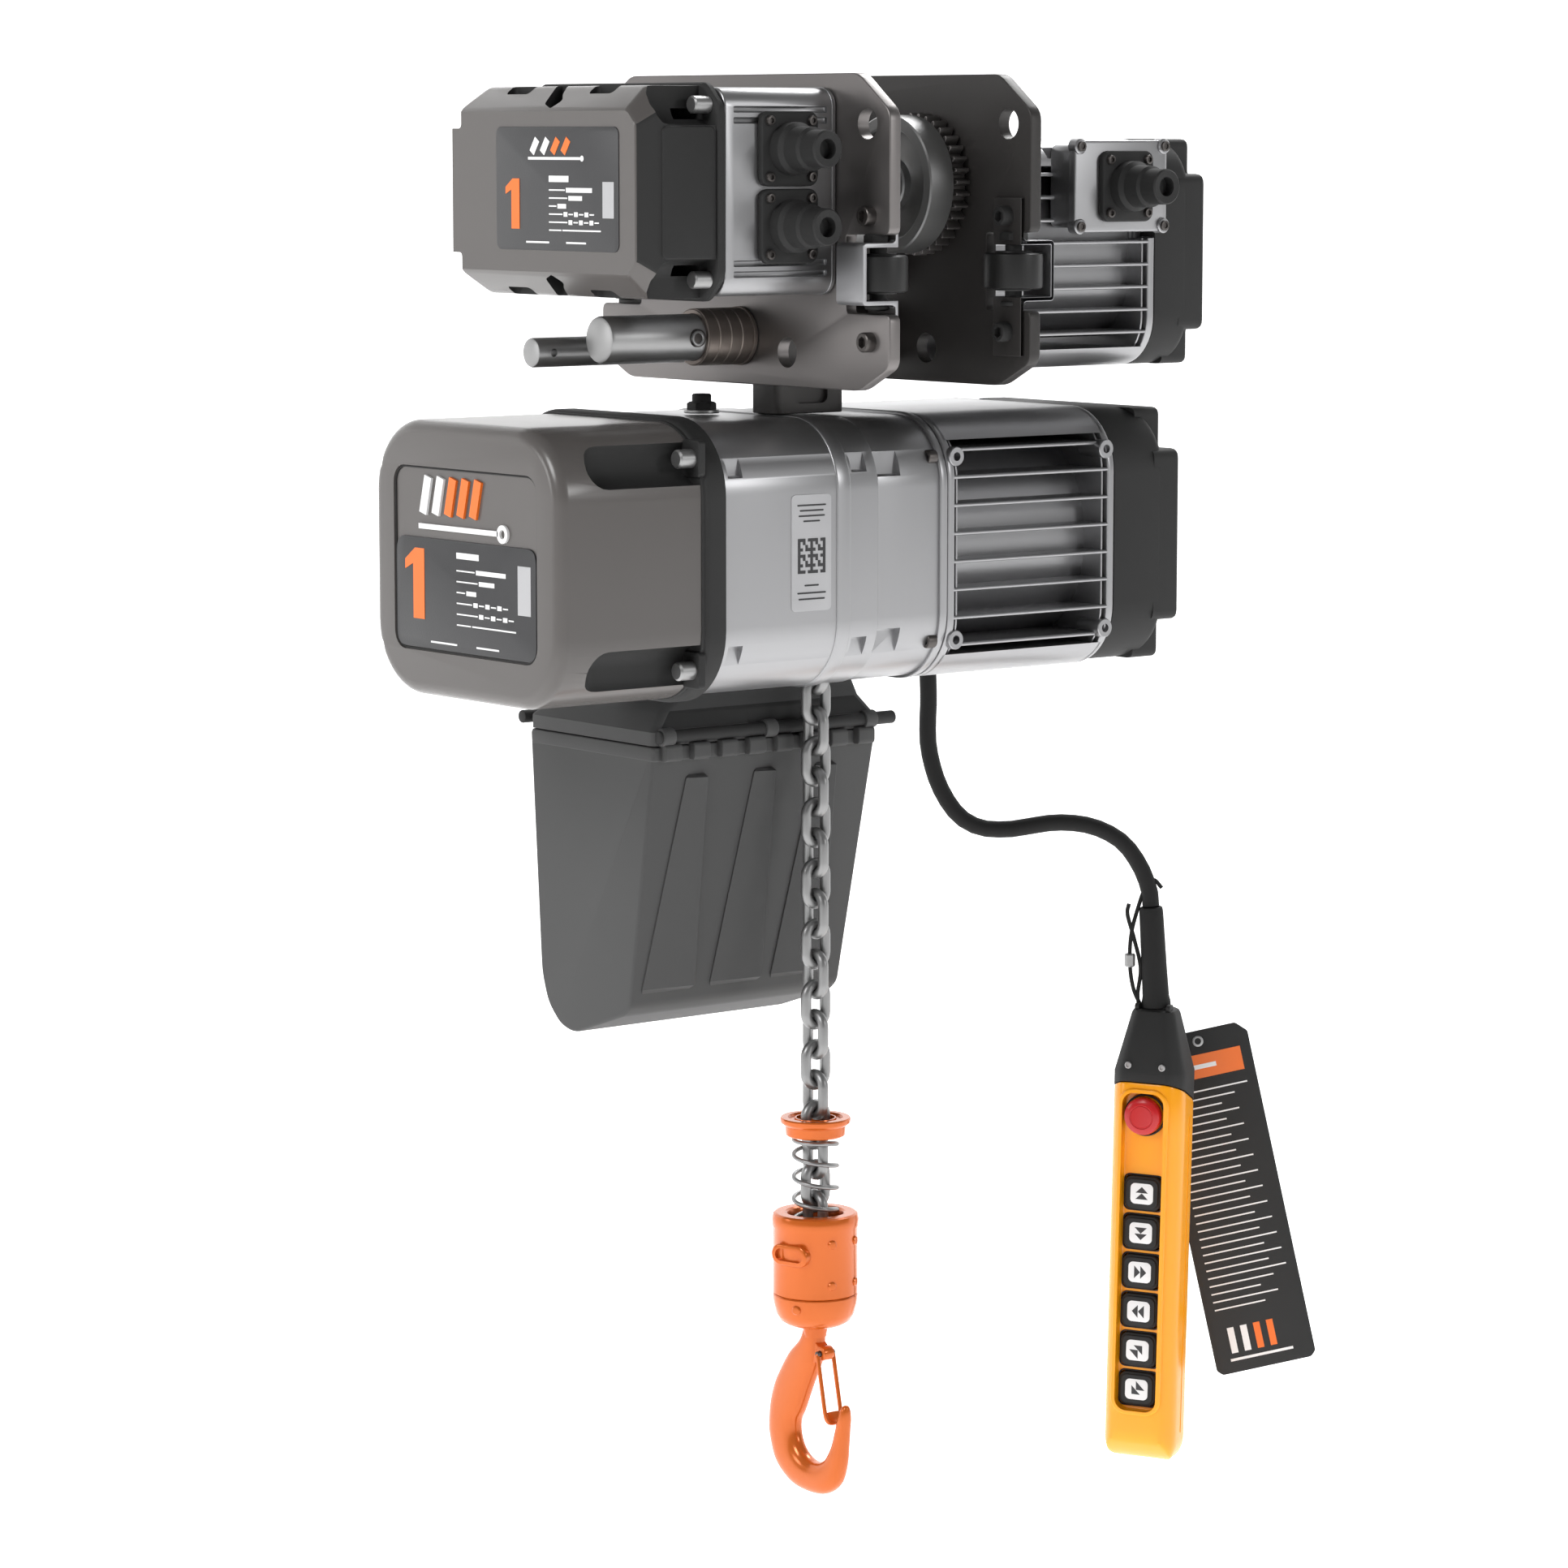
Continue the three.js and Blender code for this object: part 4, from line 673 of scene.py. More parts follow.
def build_stage(settings):
    """Pale floor that curves up into a backdrop, soft lights and the camera. The floor is a profile (flat,
    quarter circle, upright) carried along the width.
    """
    scene = bpy.context.scene
    t = np.linspace(0, np.pi / 2, 16)
    profile = np.vstack(
        [[-30.0, 0.0], np.column_stack([4.0 + 3.0 * np.sin(t), 3.0 - 3.0 * np.cos(t)]), [7.0, 9.0]]
    )
    side = np.array([math.cos(math.radians(38)), -math.sin(math.radians(38))])
    deep = np.array([-side[1], side[0]])
    across = np.linspace(-30, 30, 9)
    flat = profile[:, None, :1] * deep + across[None, :, None] * side
    verts = np.concatenate(
        [flat, np.broadcast_to(profile[:, None, 1:], flat.shape[:2] + (1,)) + settings.floor], -1
    ).reshape(-1, 3)
    r, c = np.meshgrid(np.arange(len(profile) - 1) * 9, np.arange(8), indexing="ij")
    a = r + c
    mesh = bpy.data.meshes.new("floor")
    mesh.from_pydata(verts.tolist(), [], np.stack([a, a + 1, a + 10, a + 9], -1).reshape(-1, 4).tolist())
    mesh.shade_smooth()
    mat = bpy.data.materials.new("floor")
    mat.use_nodes = True
    shader = mat.node_tree.nodes["Principled BSDF"]
    shader.inputs["Base Color"].default_value = srgb(250, 250, 250)
    shader.inputs["Roughness"].default_value = 0.9
    shader.inputs["Emission Color"].default_value = (1, 1, 1, 1)
    shader.inputs["Emission Strength"].default_value = 0.9
    mesh.materials.append(mat)
    floor = bpy.data.objects.new("floor", mesh)
    scene.collection.objects.link(floor)

    world = bpy.data.worlds.new("studio")
    world.use_nodes = True
    back = world.node_tree.nodes["Background"]
    back.inputs["Color"].default_value = (1, 1, 1, 1)
    back.inputs["Strength"].default_value = 0.2
    scene.world = world
    lights = [
        ("key", (-3.3, -0.5, 1.9), 1.6, settings.key),
        ("side", (1.4, -3.4, 0.9), 0.8, settings.key * 0.3),
        ("rim", (2.2, 1.2, 2.4), 1.2, settings.key * 0.8),
        ("left", (-3.2, 1.8, 0.3), 1.0, settings.key * 0.2),
    ]
    from mathutils import Vector

    for name, at, size, power in lights:
        lamp = bpy.data.lights.new(name, "AREA")
        lamp.shape, lamp.size, lamp.energy = "DISK", size, power
        obj = bpy.data.objects.new(name, lamp)
        obj.location = at
        obj.rotation_euler = (Vector((0, 0, -0.3)) - Vector(at)).to_track_quat("-Z", "Y").to_euler()
        scene.collection.objects.link(obj)
    lens = bpy.data.cameras.new("camera")
    lens.lens, lens.sensor_width = settings.lens, 36.0
    camera = bpy.data.objects.new("camera", lens)
    camera.location = (-2.11073, -2.66642, 0.08096)
    camera.rotation_euler = (math.radians(82.6), 0, math.radians(-38))
    scene.collection.objects.link(camera)
    scene.camera = camera
    scene.view_settings.view_transform = "Standard"


COIL_CENTRE = (163.0, -198.0)
ROUTE = [
    (228, 160, -207), (228, 160, -234.6), (228, 159.5, -262), (229.5, 158.6, -298),
    (231, 158.4, -331), (230.2, 158.4, -353), (231.3, 157.5, -372),
    (237, 153, -396.5), (247.5, 144.8, -417.5), (260.5, 134.6, -427.5), (276, 122.5, -429),
    (288, 113.2, -427), (302, 102.2, -424.2),
    (316, 91.3, -424.4), (330, 80.3, -428.5), (344, 69.4, -439), (354, 61.6, -456.5),
    (359.4, 57.4, -474), (360.4, 56.5, -485.9),
]


def cable_path():
    """The gland's end, along to the top of the coil, two layers of three flat turns whose radius steps
    smoothly at the top, then down the hanging route.
    """
    turn = np.linspace(0, 2 * np.pi * 6.25, 6 * 48 + 13)
    whole = turn / (2 * np.pi)
    radii = [65, 52, 39, 39, 52, 65, 65]
    depth = [147, 147, 147, 160, 160, 160, 160]
    base = np.minimum(np.floor(whole + 1e-9).astype(int), 6)
    # each change happens in the last sixth of its turn, as 3s^2 - 2s^3
    s = np.clip((whole - base - 5 / 6) * 6, 0, 1)
    s = s * s * (3 - 2 * s)
    after = np.minimum(base + 1, 6)
    radius = np.take(radii, base) * (1 - s) + np.take(radii, after) * s
    layer = np.take(depth, base) * (1 - s) + np.take(depth, after) * s
    coil = np.column_stack(
        [COIL_CENTRE[0] + radius * np.sin(turn), layer, COIL_CENTRE[1] + radius * np.cos(turn)]
    )
    lead = np.array([(122, 151.5, -133), (135, 150.6, -133), (149, 148.2, -133)])
    return np.vstack([lead, coil, smooth_path(ROUTE, 44)])


def build_cable(sizes):
    """The control cable as one tube along its path, with the coil's strap round the turns."""
    path = cable_path()
    obj = piece(
        "control_cable", [(pipe(path, sizes.diameter / MM / 2, 16), "cable_rubber")],
        stands_for=("cable_drop", "cable_coil"), angle=60
    )
    length = float(np.sum(np.linalg.norm(np.diff(path, axis=0), axis=1))) * MM
    if abs(length - sizes.length) > 0.1 * sizes.length:
        raise ValueError(f"the cable is {length:.3f} m long")
    strap_section = rounded(0, 0, 42, 28, 6, 5)
    angle = math.radians(-40)
    rows = []
    for grow, along in ((1.4, -5), (1.4, 5), (0.0, 5), (0.0, -5)):
        o = inset(strap_section, -grow)
        rows.append(np.column_stack([o[:, 0] + 52, o[:, 1] + 153.5, np.full(len(o), along)]))
    rows = np.array(rows)
    across, deep, along = rows[..., 0], rows[..., 1], rows[..., 2]
    x = COIL_CENTRE[0] + across * math.cos(angle) - along * math.sin(angle)
    z = COIL_CENTRE[1] + across * math.sin(angle) + along * math.cos(angle)
    strap = piece("coil_strap", [(grid(np.stack([x, deep, z], -1), True), "black_plastic")])
    print("cable length", round(length, 4))


def gland(name, x, y, z, node):
    """Cable gland that points along -Y: a square flange with rounded corners and a turned, stepped nozzle.
    """
    flange = bar("y", rounded(x, z, 46, 48, 7), y - 5, y, 1.2)
    profile = [
        (0, y - 44), (6.5, y - 44), (6.5, y - 43), (11, y - 44), (12, y - 43), (12.2, y - 30), (14, y - 28),
        (14.5, y - 16), (17, y - 13), (17, y - 4), (0, y - 4)
    ]
    profile[0:3] = [(0, y - 36), (6.5, y - 36), (6.5, y - 43.5)]
    screws = [socket_screw("y", (x + u, z + v), y - 5, 2.6, 3.2, -1) for u in (-17, 17) for v in (-18, 18)]
    return piece(
        name,
        [
            (combine(flange, turned("y", profile, (x, z), 40)), "black_plastic"),
            (combine(*screws), "dark_steel")
        ],
        stands_for=node
    )


# The trolley.


def build_plates():
    """Each side plate is an outline with softened corners carried through its thickness, cut by turned
    bores; stub axles, pads and screws are turned or carried shapes on it.
    """
    outline = softened(
        [
            (-157, -70), (-125, -86), (125, -86), (157, -70), (157, -36), (112, -36), (112, 15), (157, 15),
            (157, 94), (124, 118.5), (-124, 118.5), (-157, 94), (-157, 15), (-112, 15), (-112, -36),
            (-157, -36)
        ],
        [6, 6, 6, 6, 5, 3, 3, 5, 6, 6, 6, 6, 5, 3, 3, 5],
    )
    for side, name in ((-1, "near"), (1, "far")):
        low, high = (-64, -55) if side < 0 else (55, 64)
        holes = [
            turned("x", [(0, low - 2), (r, low - 2), (r, high + 2), (0, high + 2)], at, 48)
            for r, at in [
                (15.8, (0, -54)), (10.1, (50, -63.5)), (10.1, (-50, -63.5)), (10, (134, 86)),
                (10, (-134, 86))
            ]
            + ([(9, (0, 0.655))] if side > 0 else [])
        ]
        plate = minus(bar("x", outline, low, high, 0.9), *holes)
        extras, screws = [], []
        for y in (-50, 50):
            axle = turned(
                "x",
                [
                    (0, 18), (7.5, 18), (9.1, 19.6), (9.1, 22), (8.5, 22.2), (8.5, 23.2), (9.1, 23.4),
                    (9.1, 57), (0, 57)
                ],
                (y, 46), 48
            )
            extras.append(shifted(axle, scale=(side, 1, 1)))
            extras.append(
                shifted(
                    turned(
                        "x", [(0, 63), (16, 63), (16, 66), (14.5, 67.5), (9, 67.5), (8.4, 66.6), (0, 66.6)],
                        (y, 46), 48
                    ),
                    scale=(side, 1, 1)
                )
            )
        for y in (-137, 137):
            for z in (27, -54):
                screws.append(shifted(socket_screw("x", (y, z), 64, 7, 6.5, 1), scale=(side, 1, 1)))
        piece(
            f"side_plate_{name}",
            [
                # The far plate takes the darker copy of the plate steel: painted shade, as it lies in the
                # shadow of the near parts.
                (combine(plate, *extras), "plate_steel" if side < 0 else "plate_dark"),
                (combine(*screws), "dark_steel")
            ],
            stands_for=f"{name}_side_plate"
        )


def build_wheels(sizes):
    """Wheels are closed turned profiles: hub, web, tread and groove; the driven ones also carry a toothed
    ring.
    """
    pitch = math.atan2(46 - 0.655, -50)
    step = 2 * math.pi / 18
    for end, name in ((-1, "front"), (1, "rear")):
        at = (end * 50, 46)
        phase = pitch + math.pi if end < 0 else 2 * math.pi - pitch - (
            (pitch - 5 * step) - (math.pi - pitch)
        ) / 2
        profile = [
            (9.5, 21), (10.5, 20.8), (16, 20.8), (17, 22), (17.5, 27), (20, 28.5), (35, 28.5), (37, 27),
            (37.5, 21.5), (38.5, 20.5), (45, 20.5), (46, 21.5), (46, 40), (45.4, 40.5), (41, 40.6),
            (41, 44), (9.5, 44)
        ]
        teeth = minus(
            bar("x", gear(sizes.teeth, 41.8, 47.4, *at, phase), 42, 53.5, 0.5),
            turned("x", [(0, 40), (10, 40), (10, 55), (0, 55)], at, 48)
        )
        parts = [(turned("x", profile, at, 96, True), "wheel_steel"), (teeth, "plate_steel")]
        piece(f"wheel_driven_{name}", parts, f"drive_wheel_{name}_body", f"drive_wheel_{name}")
        profile = [
            (9.5, -21), (10.5, -20.8), (16, -20.8), (17, -22), (17.5, -27), (20, -28.5), (35, -28.5),
            (37, -27), (37.5, -21.5), (38.5, -20.5), (45, -20.5), (46, -21.5), (46, -40), (46.8, -41),
            (47.4, -41.2), (48, -42), (48, -52.5), (47, -53.5), (10.5, -53.5), (9.5, -53)
        ]
        piece(
            f"wheel_idler_{name}", [(turned("x", profile, at, 96, True), "wheel_steel")],
            f"idler_wheel_{name}_body", f"idler_wheel_{name}"
        )


def build_rollers():
    """Guide rollers turned round their pins, and the bent strips that carry them: a strip profile in (x, z)
    with softened bends carried along Y.
    """
    for side, a in ((-1, "near"), (1, "far")):
        for end, b in ((-1, "front"), (1, "rear")):
            at = (side * 57.5, end * 137)
            roller = turned(
                "z",
                [
                    (6, -22.5), (6.5, -23), (12, -23), (12.4, -22), (17.5, -22), (19.2, -21), (19.5, -19),
                    (19.5, -1), (19.2, 1), (17.5, 2), (12.4, 2), (12, 3), (6.5, 3), (6, 2.5)
                ],
                at, 72, True
            )
            piece(
                f"roller_{a}_{b}", [(roller, "roller_black")], f"guide_roller_{a}_{b}_body",
                f"guide_roller_{a}_{b}"
            )
            outer = [
                (51.7, 38), (51.7, 7), (78, 7), (78, -27), (51.7, -27), (51.7, -66), (54.7, -66),
                (54.7, -30), (81, -30), (81, 10), (54.7, 10), (54.7, 38)
            ]
            reach = [0.8, 0.6, 0.6, 0.6, 0.6, 0.8, 0.8, 3, 3.4, 3.4, 3, 0.8]
            low, high = (-151, -123) if end < 0 else (123, 151)
            strip = shifted(bar("y", softened(outer, reach, 5), low, high, 0.5), scale=(side, 1, 1))
            pin = turned("z", [(0, -34), (4.6, -34), (5.6, -33), (5.6, 13.5), (5, 14.6), (0, 15)], at, 40)
            heads = [hex_head("z", at, 10, 5.5, 9.5, 1), ring("z", 8.5, 5.7, -33, -30.2, at)]
            box = sorted((side * 50, side * 55))
            # Faces of the strip 50 to 55 from the middle, its flat part against the inner face of the side
            # plate, take the darker plate steel: painted shade between the plates.
            strip, pads = picked(strip, (box[0], -200, -200), (box[1], 200, 200))
            bolts = [
                shifted(socket_screw("x", (end * 137, z), 51.8, 8, 6.5, -1), scale=(side, 1, 1))
                for z in (26, -50)
            ]
            piece(
                f"bracket_{a}_{b}",
                [
                    (strip, "bracket_steel"), (pads, "plate_dark"),
                    (combine(pin, *heads, *bolts), "black_plastic")
                ],
                stands_for=f"roller_bracket_{a}_{b}"
            )


def build_shafts():
    """The two shafts with chamfered bright ends and their cross pins; the washers outside the near plate
    are one closed turned profile with a groove at each joint.
    """
    shaft = rod("x", 15.5, -181, 78, (0, -54), 2.2, 64)
    pin = rod("y", 6, -17.5, 17.5, (-112, -54), 0.8, 32)
    split = [ring("x", 5.0, 3.4, 0, 2.2, (0, 0), 0.4, 24)]
    shaft = minus(shaft, turned("z", [(0, -76), (2.6, -76), (2.6, -30), (0, -30)], (72, 0), 24))
    piece("hanging_shaft", [(shaft, "ground_steel"), (pin, "dark_steel")], stands_for="suspension_shaft")
    clip = shifted(split[0], offset=(-113, -18.5, -54), turn=around("z", 90))
    piece("shaft_pin_clip", [(clip, "ground_steel")])
    tie = minus(
        rod("x", 9.8, -200, 76, (50, -63.5), 1.6, 48),
        turned("y", [(0, 36), (2.7, 36), (2.7, 64), (0, 64)], (-188, -63.5), 24)
    )
    piece("tie_bar", [(tie, "ground_steel")], stands_for="tie_shaft")
    profile = [(15.8, -64.3), (19.0, -64.3), (19.6, -64.9), (19.6, -67)]
    for i in range(4):
        start = -67.5 - i * 9.3
        profile += [(18.4, start), (19, start - 0.7), (19, start - 8.6)]
    profile += [(18.4, -104.2), (18, -104.7), (15.8, -104.7)]
    piece(
        "washer_stack", [(turned("x", profile, (0, -54), 72, True), "bronzed_steel")],
        stands_for="outer_spacers"
    )
    piece(
        "sleeve_spacer", [(ring("x", 21, 15.8, 8.3, 54.7, (0, -54), 1), "dark_steel")],
        stands_for="inner_spacer"
    )


def picked(shape, low, high):
    """The shape in two: faces whose middle lies outside the box from low to high, and those inside it."""
    verts, faces = shape
    centres = np.array([verts[f].mean(0) for f in faces])
    inside = np.all((centres > low) & (centres < high), 1)
    return (verts, [f for f, k in zip(faces, inside) if not k]), (
        verts, [f for f, k in zip(faces, inside) if k]
    )


def stroke(points, width, depth, x, at, size):
    """A printed line on a -X face: a polyline in fractions of the label (right, up), as wide as asked, a
    little proud of it.
    """
    p = np.asarray(points, float) * size
    shapes = []
    for a, b in zip(p[:-1], p[1:]):
        along = (b - a) / np.linalg.norm(b - a)
        n = np.array([-along[1], along[0]]) * width / 2
        quad = np.array([a - n, b - n, b + n, a + n])
        flat = np.column_stack([at[0] - quad[:, 0], at[1] + quad[:, 1]])
        shapes.append(stack("x", [(x, flat), (x - depth, flat)]))
    return combine(*shapes)


def label(x, left, low, width, height, one, mark, tall):
    """A printed plate on a -X face: a numeral, a header bar, rows of thin lines with boxes after them, a
    tag and two foot lines. The mark above is four slanted bars over a line.
    """
    at, size = (left, low), np.array([width, height])
    white, orange, grey = [], [], []
    u, v, w, h = one
    numeral = np.array(
        [(0.42, 0), (1, 0), (1, 1), (0.52, 1), (0, 0.83), (0, 0.69), (0.42, 0.78)]
    ) * [w * width, h * height] + [u * width, v * height]
    flat = np.column_stack([left - numeral[:, 0], low + numeral[:, 1]])
    orange.append(stack("x", [(x, flat), (x - 0.25, flat)]))
    white.append(stroke([(0.44, tall * 0.58), (0.6, tall * 0.58)], 4.0, 0.25, x, at, size))
    for i, (thin, boxes) in enumerate(
        [
            (0.13, (0.21,)), (0.15, (0.11,)), (0.06, (0.07,)), (0.11, (0.03, 0.03, 0.03)),
            (0.15, (0.03, 0.03, 0.03)), (0.1, ())
        ]
    ):
        v = tall * (0.49 - i * 0.065)
        white.append(stroke([(0.44, v), (0.44 + thin, v)], 0.9, 0.25, x, at, size))
        start = 0.45 + thin
        for box in boxes:
            white.append(stroke([(start, v), (start + box, v)], 3.0, 0.25, x, at, size))
            if box < 0.05:
                white.append(
                    stroke([(start + box + 0.01, v), (start + box + 0.045, v)], 0.9, 0.25, x, at, size)
                )
            start += box + 0.055
        if not boxes:
            white.append(stroke([(start, v), (0.86, v)], 1.0, 0.25, x, at, size))
    grey.append(stroke([(0.92, tall * 0.27), (0.92, tall * 0.56)], 0.09 * width, 0.25, x, at, size))
    for a, b in ((0.25, 0.44), (0.58, 0.74)):
        white.append(stroke([(a, 0.065), (b, 0.065)], 1.2, 0.25, x, at, size))
    if mark:
        mu, mv, mh, thick, depth = mark
        for i, shade in enumerate((white, white, orange, orange)):
            a = mu + i * 0.085
            shade.append(stroke([(a, mv), (a + 0.045, mv + mh)], thick, depth, x, at, size))
        white.append(
            stroke([(mu - 0.03, mv - 0.045), (mu + 0.4, mv - 0.045)], thick * 0.32, depth, x, at, size)
        )
        white.append(
            shifted(
                turned(
                    "x", [(0, x), (thick * 0.34, x), (thick * 0.34, x - depth), (0, x - depth)],
                    (left - (mu + 0.41) * width, low + (mv - 0.045) * height), 24
                )
            )
        )
    return [
        (combine(*white), "print_white"), (combine(*orange), "print_orange"), (combine(*grey), "print_grey")
    ]


def build_trolley_box():
    """Control box. The cover is a stack of softened outlines that narrows over the bevels at its end;
    scoops, slots and notches are cut out of it; a rounded flange closes it on the cast base.
    """

    def section(half, low, high, chamfer=15.0, soft=5.0):
        pts = [
            (-half + chamfer, low), (half - chamfer, low), (half, low + chamfer), (half, high - chamfer),
            (half - chamfer, high), (-half + chamfer, high), (-half, high - chamfer), (-half, low + chamfer)
        ]
        return softened(pts, soft, 4)

    shell = stack(
        "x",
        [
            (-226, section(101.4, -9, 94, 8, 3)), (-225.2, section(102.5, -10, 95, 9, 3)),
            (-224, section(103, -11.4, 96.4, 10, 3)), (-208.5, section(103, -23, 108, 14, 4)),
            (-206.5, section(103, -24.4, 109.4, 15, 4)), (-204, section(103, -25, 110, 15, 4)),
            (-163, section(103, -25, 110, 15, 4))
        ]
    )
    tools = []
    for z in (110, -25):
        up = 1 if z > 0 else -1
        for y in (-103, 103):
            tools.append(bar("x", rounded(y, z, 36, 50, 13), -211, -161, (12, 0.2)))
        tools.append(
            bar(
                "z", softened([(-225, -9), (-221, 3), (-199, 14), (-196, 5), (-213, -6), (-218, -13)], 2.5),
                *sorted((z - up * 14.6, z + up * 4)), 0.2
            )
        )
        for y in (46, -46):
            tools.append(bar("z", rounded(-208, y, 9, 26, 3), *sorted((z - up * 8, z + up * 4)), 0.2))
        tools.append(bar("x", rounded(104, z - up * 12, 26, 30, 3), -228, -208, 0.3))
    tools.append(bar("x", rounded(0, 42.5, 178, 110, 9), -186, -160, 0.2))
    body, inner = minus(shell, *tools, split=True)
    # The faces of the -Y side wall go to the black finish: partly the black of that side, partly painted
    # shade, as that side is turned away from the key light.
    body, flank = picked(body, (-225, -104, -26), (-160, -102.2, 111))
    dark = [inner, flank]
    flange = stack(
        "x",
        [
            (-163, section(102.5, -24.5, 109.5)), (-162, section(104.4, -26.4, 111.4)),
            (-160.6, section(105.2, -27.2, 112.2)), (-157.4, section(105.2, -27.2, 112.2)),
            (-155.7, section(103.6, -25.6, 110.6))
        ]
    )
    side = [
        bar("y", rounded(-185, 42.5, 42, 84, 4), -104.2, -101, (1.2, 0)),
        bar("y", rounded(-185, 42.5, 42, 84, 4), 101, 104.2, (0, 1.2))
    ]
    screws = [
        turned("x", [(0, -176), (4.6, -176), (5.6, -175), (5.6, -163), (0, -163)], (y, z), 32)
        for y in (-94, 94) for z in (98, -13)
    ]
    piece(
        "trolley_cover",
        [
            (body, "dark_paint"), (combine(flange, *side, *dark), "black_plastic"),
            (combine(*screws), "ground_steel")
        ],
        stands_for="trolley_control_cover"
    )
    back = bar("x", rounded(-17.5, 44.5, 135, 79, 5), -226.6, -225.6, 0.2)
    parts = label(-226.6, 50, 5, 135, 79, (0.08, 0.17, 0.115, 0.41), (0.3, 0.79, 0.11, 5.5, 0.25), 1.0)
    piece("trolley_label", [(back, "print_black")] + parts)

    base = bar("x", rounded(0, 42.5, 204, 133, 12), -155.2, -64.3, (1.5, 1))
    tools = []
    for z in (95, 88, -3, -10):
        tools.append(bar("x", rounded(-102, z, 5, 4.2, 1.6), -148, -72, 1))
        tools.append(bar("x", rounded(102, z, 5, 4.2, 1.6), -148, -72, 1))
    tools.append(bar("z", rounded(-110, 0, 62, 150, 6), 107.6, 112, 0.2))
    tools.append(bar("x", rounded(0, 42.5, 192, 121, 9), -160, -73, 0.2))
    base = minus(base, *tools)
    seam = bar("x", rounded(0, 42.5, 205, 134, 12.5), -68, -65.5, 0.3)
    piece("trolley_box_base", [(combine(base, seam), "cast_aluminium")], stands_for="trolley_control_base")
    gland("supply_gland_upper", -106, -102.3, 70, "power_gland_upper")
    gland("supply_gland_lower", -106, -102.3, 20.5, "power_gland_lower")


def half_width(offset, width, height, radius):
    """Half the width of a rounded rectangle at a height above its middle: the corner circle's radius r
    gives the square root of r^2 - d^2.
    """
    d = max(abs(offset) - (height / 2 - radius), 0.0)
    return width / 2 - radius + math.sqrt(max(radius**2 - d**2, 0.0))


def barrel(low, high, y, z, width, height, radius, core, fins, thick, crown):
    """Motor casing: level fins that reach the rounded envelope, a round core, end rings, and closed crowns
    above and below that follow the envelope.
    """
    shapes = [bar("x", rounded(y, z, *core, 10), low, high, 0)]
    for offset in fins:
        w = half_width(abs(offset) + thick / 2, width, height, radius) - 0.2
        shapes.append(
            bar("x", rounded(y, z + offset, 2 * w, thick, thick / 2 - 0.05, 4), low + 3, high - 3, 0)
        )
    envelope = rounded(y, z, width, height, radius, 12)
    for ends in ((low, low + 6), (high - 6, high)):
        shapes.append(bar("x", envelope, *ends, 1.2))
    for line in ((low + 8.5, low + 10), (high - 10, high - 8.5)):
        shapes.append(bar("x", inset(envelope, 2.2), *line, 0.3))
    shapes.append(bar("x", envelope[envelope[:, 1] > z + crown], low + 3, high - 3, 0))
    shapes.append(bar("x", envelope[envelope[:, 1] < z - crown], low + 3, high - 3, 0))
    return shapes


def fan_cap(low, high, at, size, radius, step, node, name):
    """Fan cover: a rounded section, then past a stepped shoulder a cross-shaped one whose corners are set
    in, with a round grille of rings in its end.
    """
    w, h = size[0] / 2, size[1] / 2
    a, b = w - step[0], h - step[1]
    cross = softened(
        [
            (w, -b), (w, b), (a, b), (a, h), (-a, h), (-a, b), (-w, b), (-w, -b), (-a, -b), (-a, -h),
            (a, -h), (a, -b)
        ],
        [7, 7, 2.5, 6, 6, 2.5, 7, 7, 2.5, 6, 6, 2.5]
    ) + np.asarray(at)
    body = [
        bar("x", rounded(*at, *size, radius, 10), low, high - 13, (0.6, 7.0), 5),
        bar("x", inset(cross, 0.2), high - 24, high, (0, 3.0), 5)
    ]
    r = min(w, h) - 26
    grooves = [
        turned("x", [(q, high - 3), (q + 4.5, high - 3), (q + 4.5, high + 1), (q, high + 1)], at, 64, True)
        for q in np.linspace(14, r, 5)
    ]
    body[1] = minus(body[1], *grooves)
    return piece(name, [(combine(*body), "black_plastic")], stands_for=node)


def build_trolley_motor(sizes):
    """Trolley motor: a turned spigot and end shield, the finned barrel, the stepped fan cover and the
    terminal box with its gland.
    """
    shapes = barrel(
        80, 237.7, 0, -2, 152, 156, 34, (118, 118, 40), (-54, -38.6, -23.1, -7.7, 7.7, 23.1, 38.6, 54),
        sizes.fin, 62
    )
    seat = bar("y", rounded(192, 46, 92, 76, 2), -82, -61, 0)
    shapes = [minus(combine(*shapes), seat)]
    shapes.append(
        turned(
            "x", [(8.6, 64.3), (37, 64.3), (37, 78), (39, 80), (50, 80.2), (50, 88), (8.6, 88)], (0, 0.655),
            64, True
        )
    )
    piece("trolley_motor_body", [(combine(*shapes), "cast_aluminium")], stands_for="trolley_motor_casing")
    fan_cap(238, 285, (0, -2), (152, 156), 36, (17, 24), "trolley_fan_cover", "trolley_fan_cap")
    box = [
        bar("y", rounded(194, 44, 78, 56, 5), -84, -61.3, 0.6),
        bar("y", rounded(194, 44, 84, 62, 5), -90, -84.2, (1.4, 0.4))
    ]
    box += [
        turned(
            "y", [(0, -92), (4.4, -92), (5.2, -91.2), (5.2, -84), (0, -84)], (194 + a * 38, 44 + b * 27), 28
        )
        for a in (-1, 1) for b in (-1, 1)
    ]
    screws = [
        socket_screw("y", (194 + a * 38, 44 + b * 27), -92, 1.6, 3.4, -1) for a in (-1, 1) for b in (-1, 1)
    ]
    piece(
        "terminal_box", [(combine(*box), "cast_aluminium"), (combine(*screws), "dark_steel")],
        stands_for="trolley_terminal_box"
    )
    gland("terminal_box_gland", 196, -90.3, 44, "terminal_gland")


# The hoist body.

MIDDLE = (33.0, -198.0)


def body_outline(grow=0.0):
    """Section of the hoist body, a rounded rectangle, grown by a few millimetres."""
    return rounded(*MIDDLE, 213 + 2 * grow, 182 + 2 * grow, 48 + grow, 14)


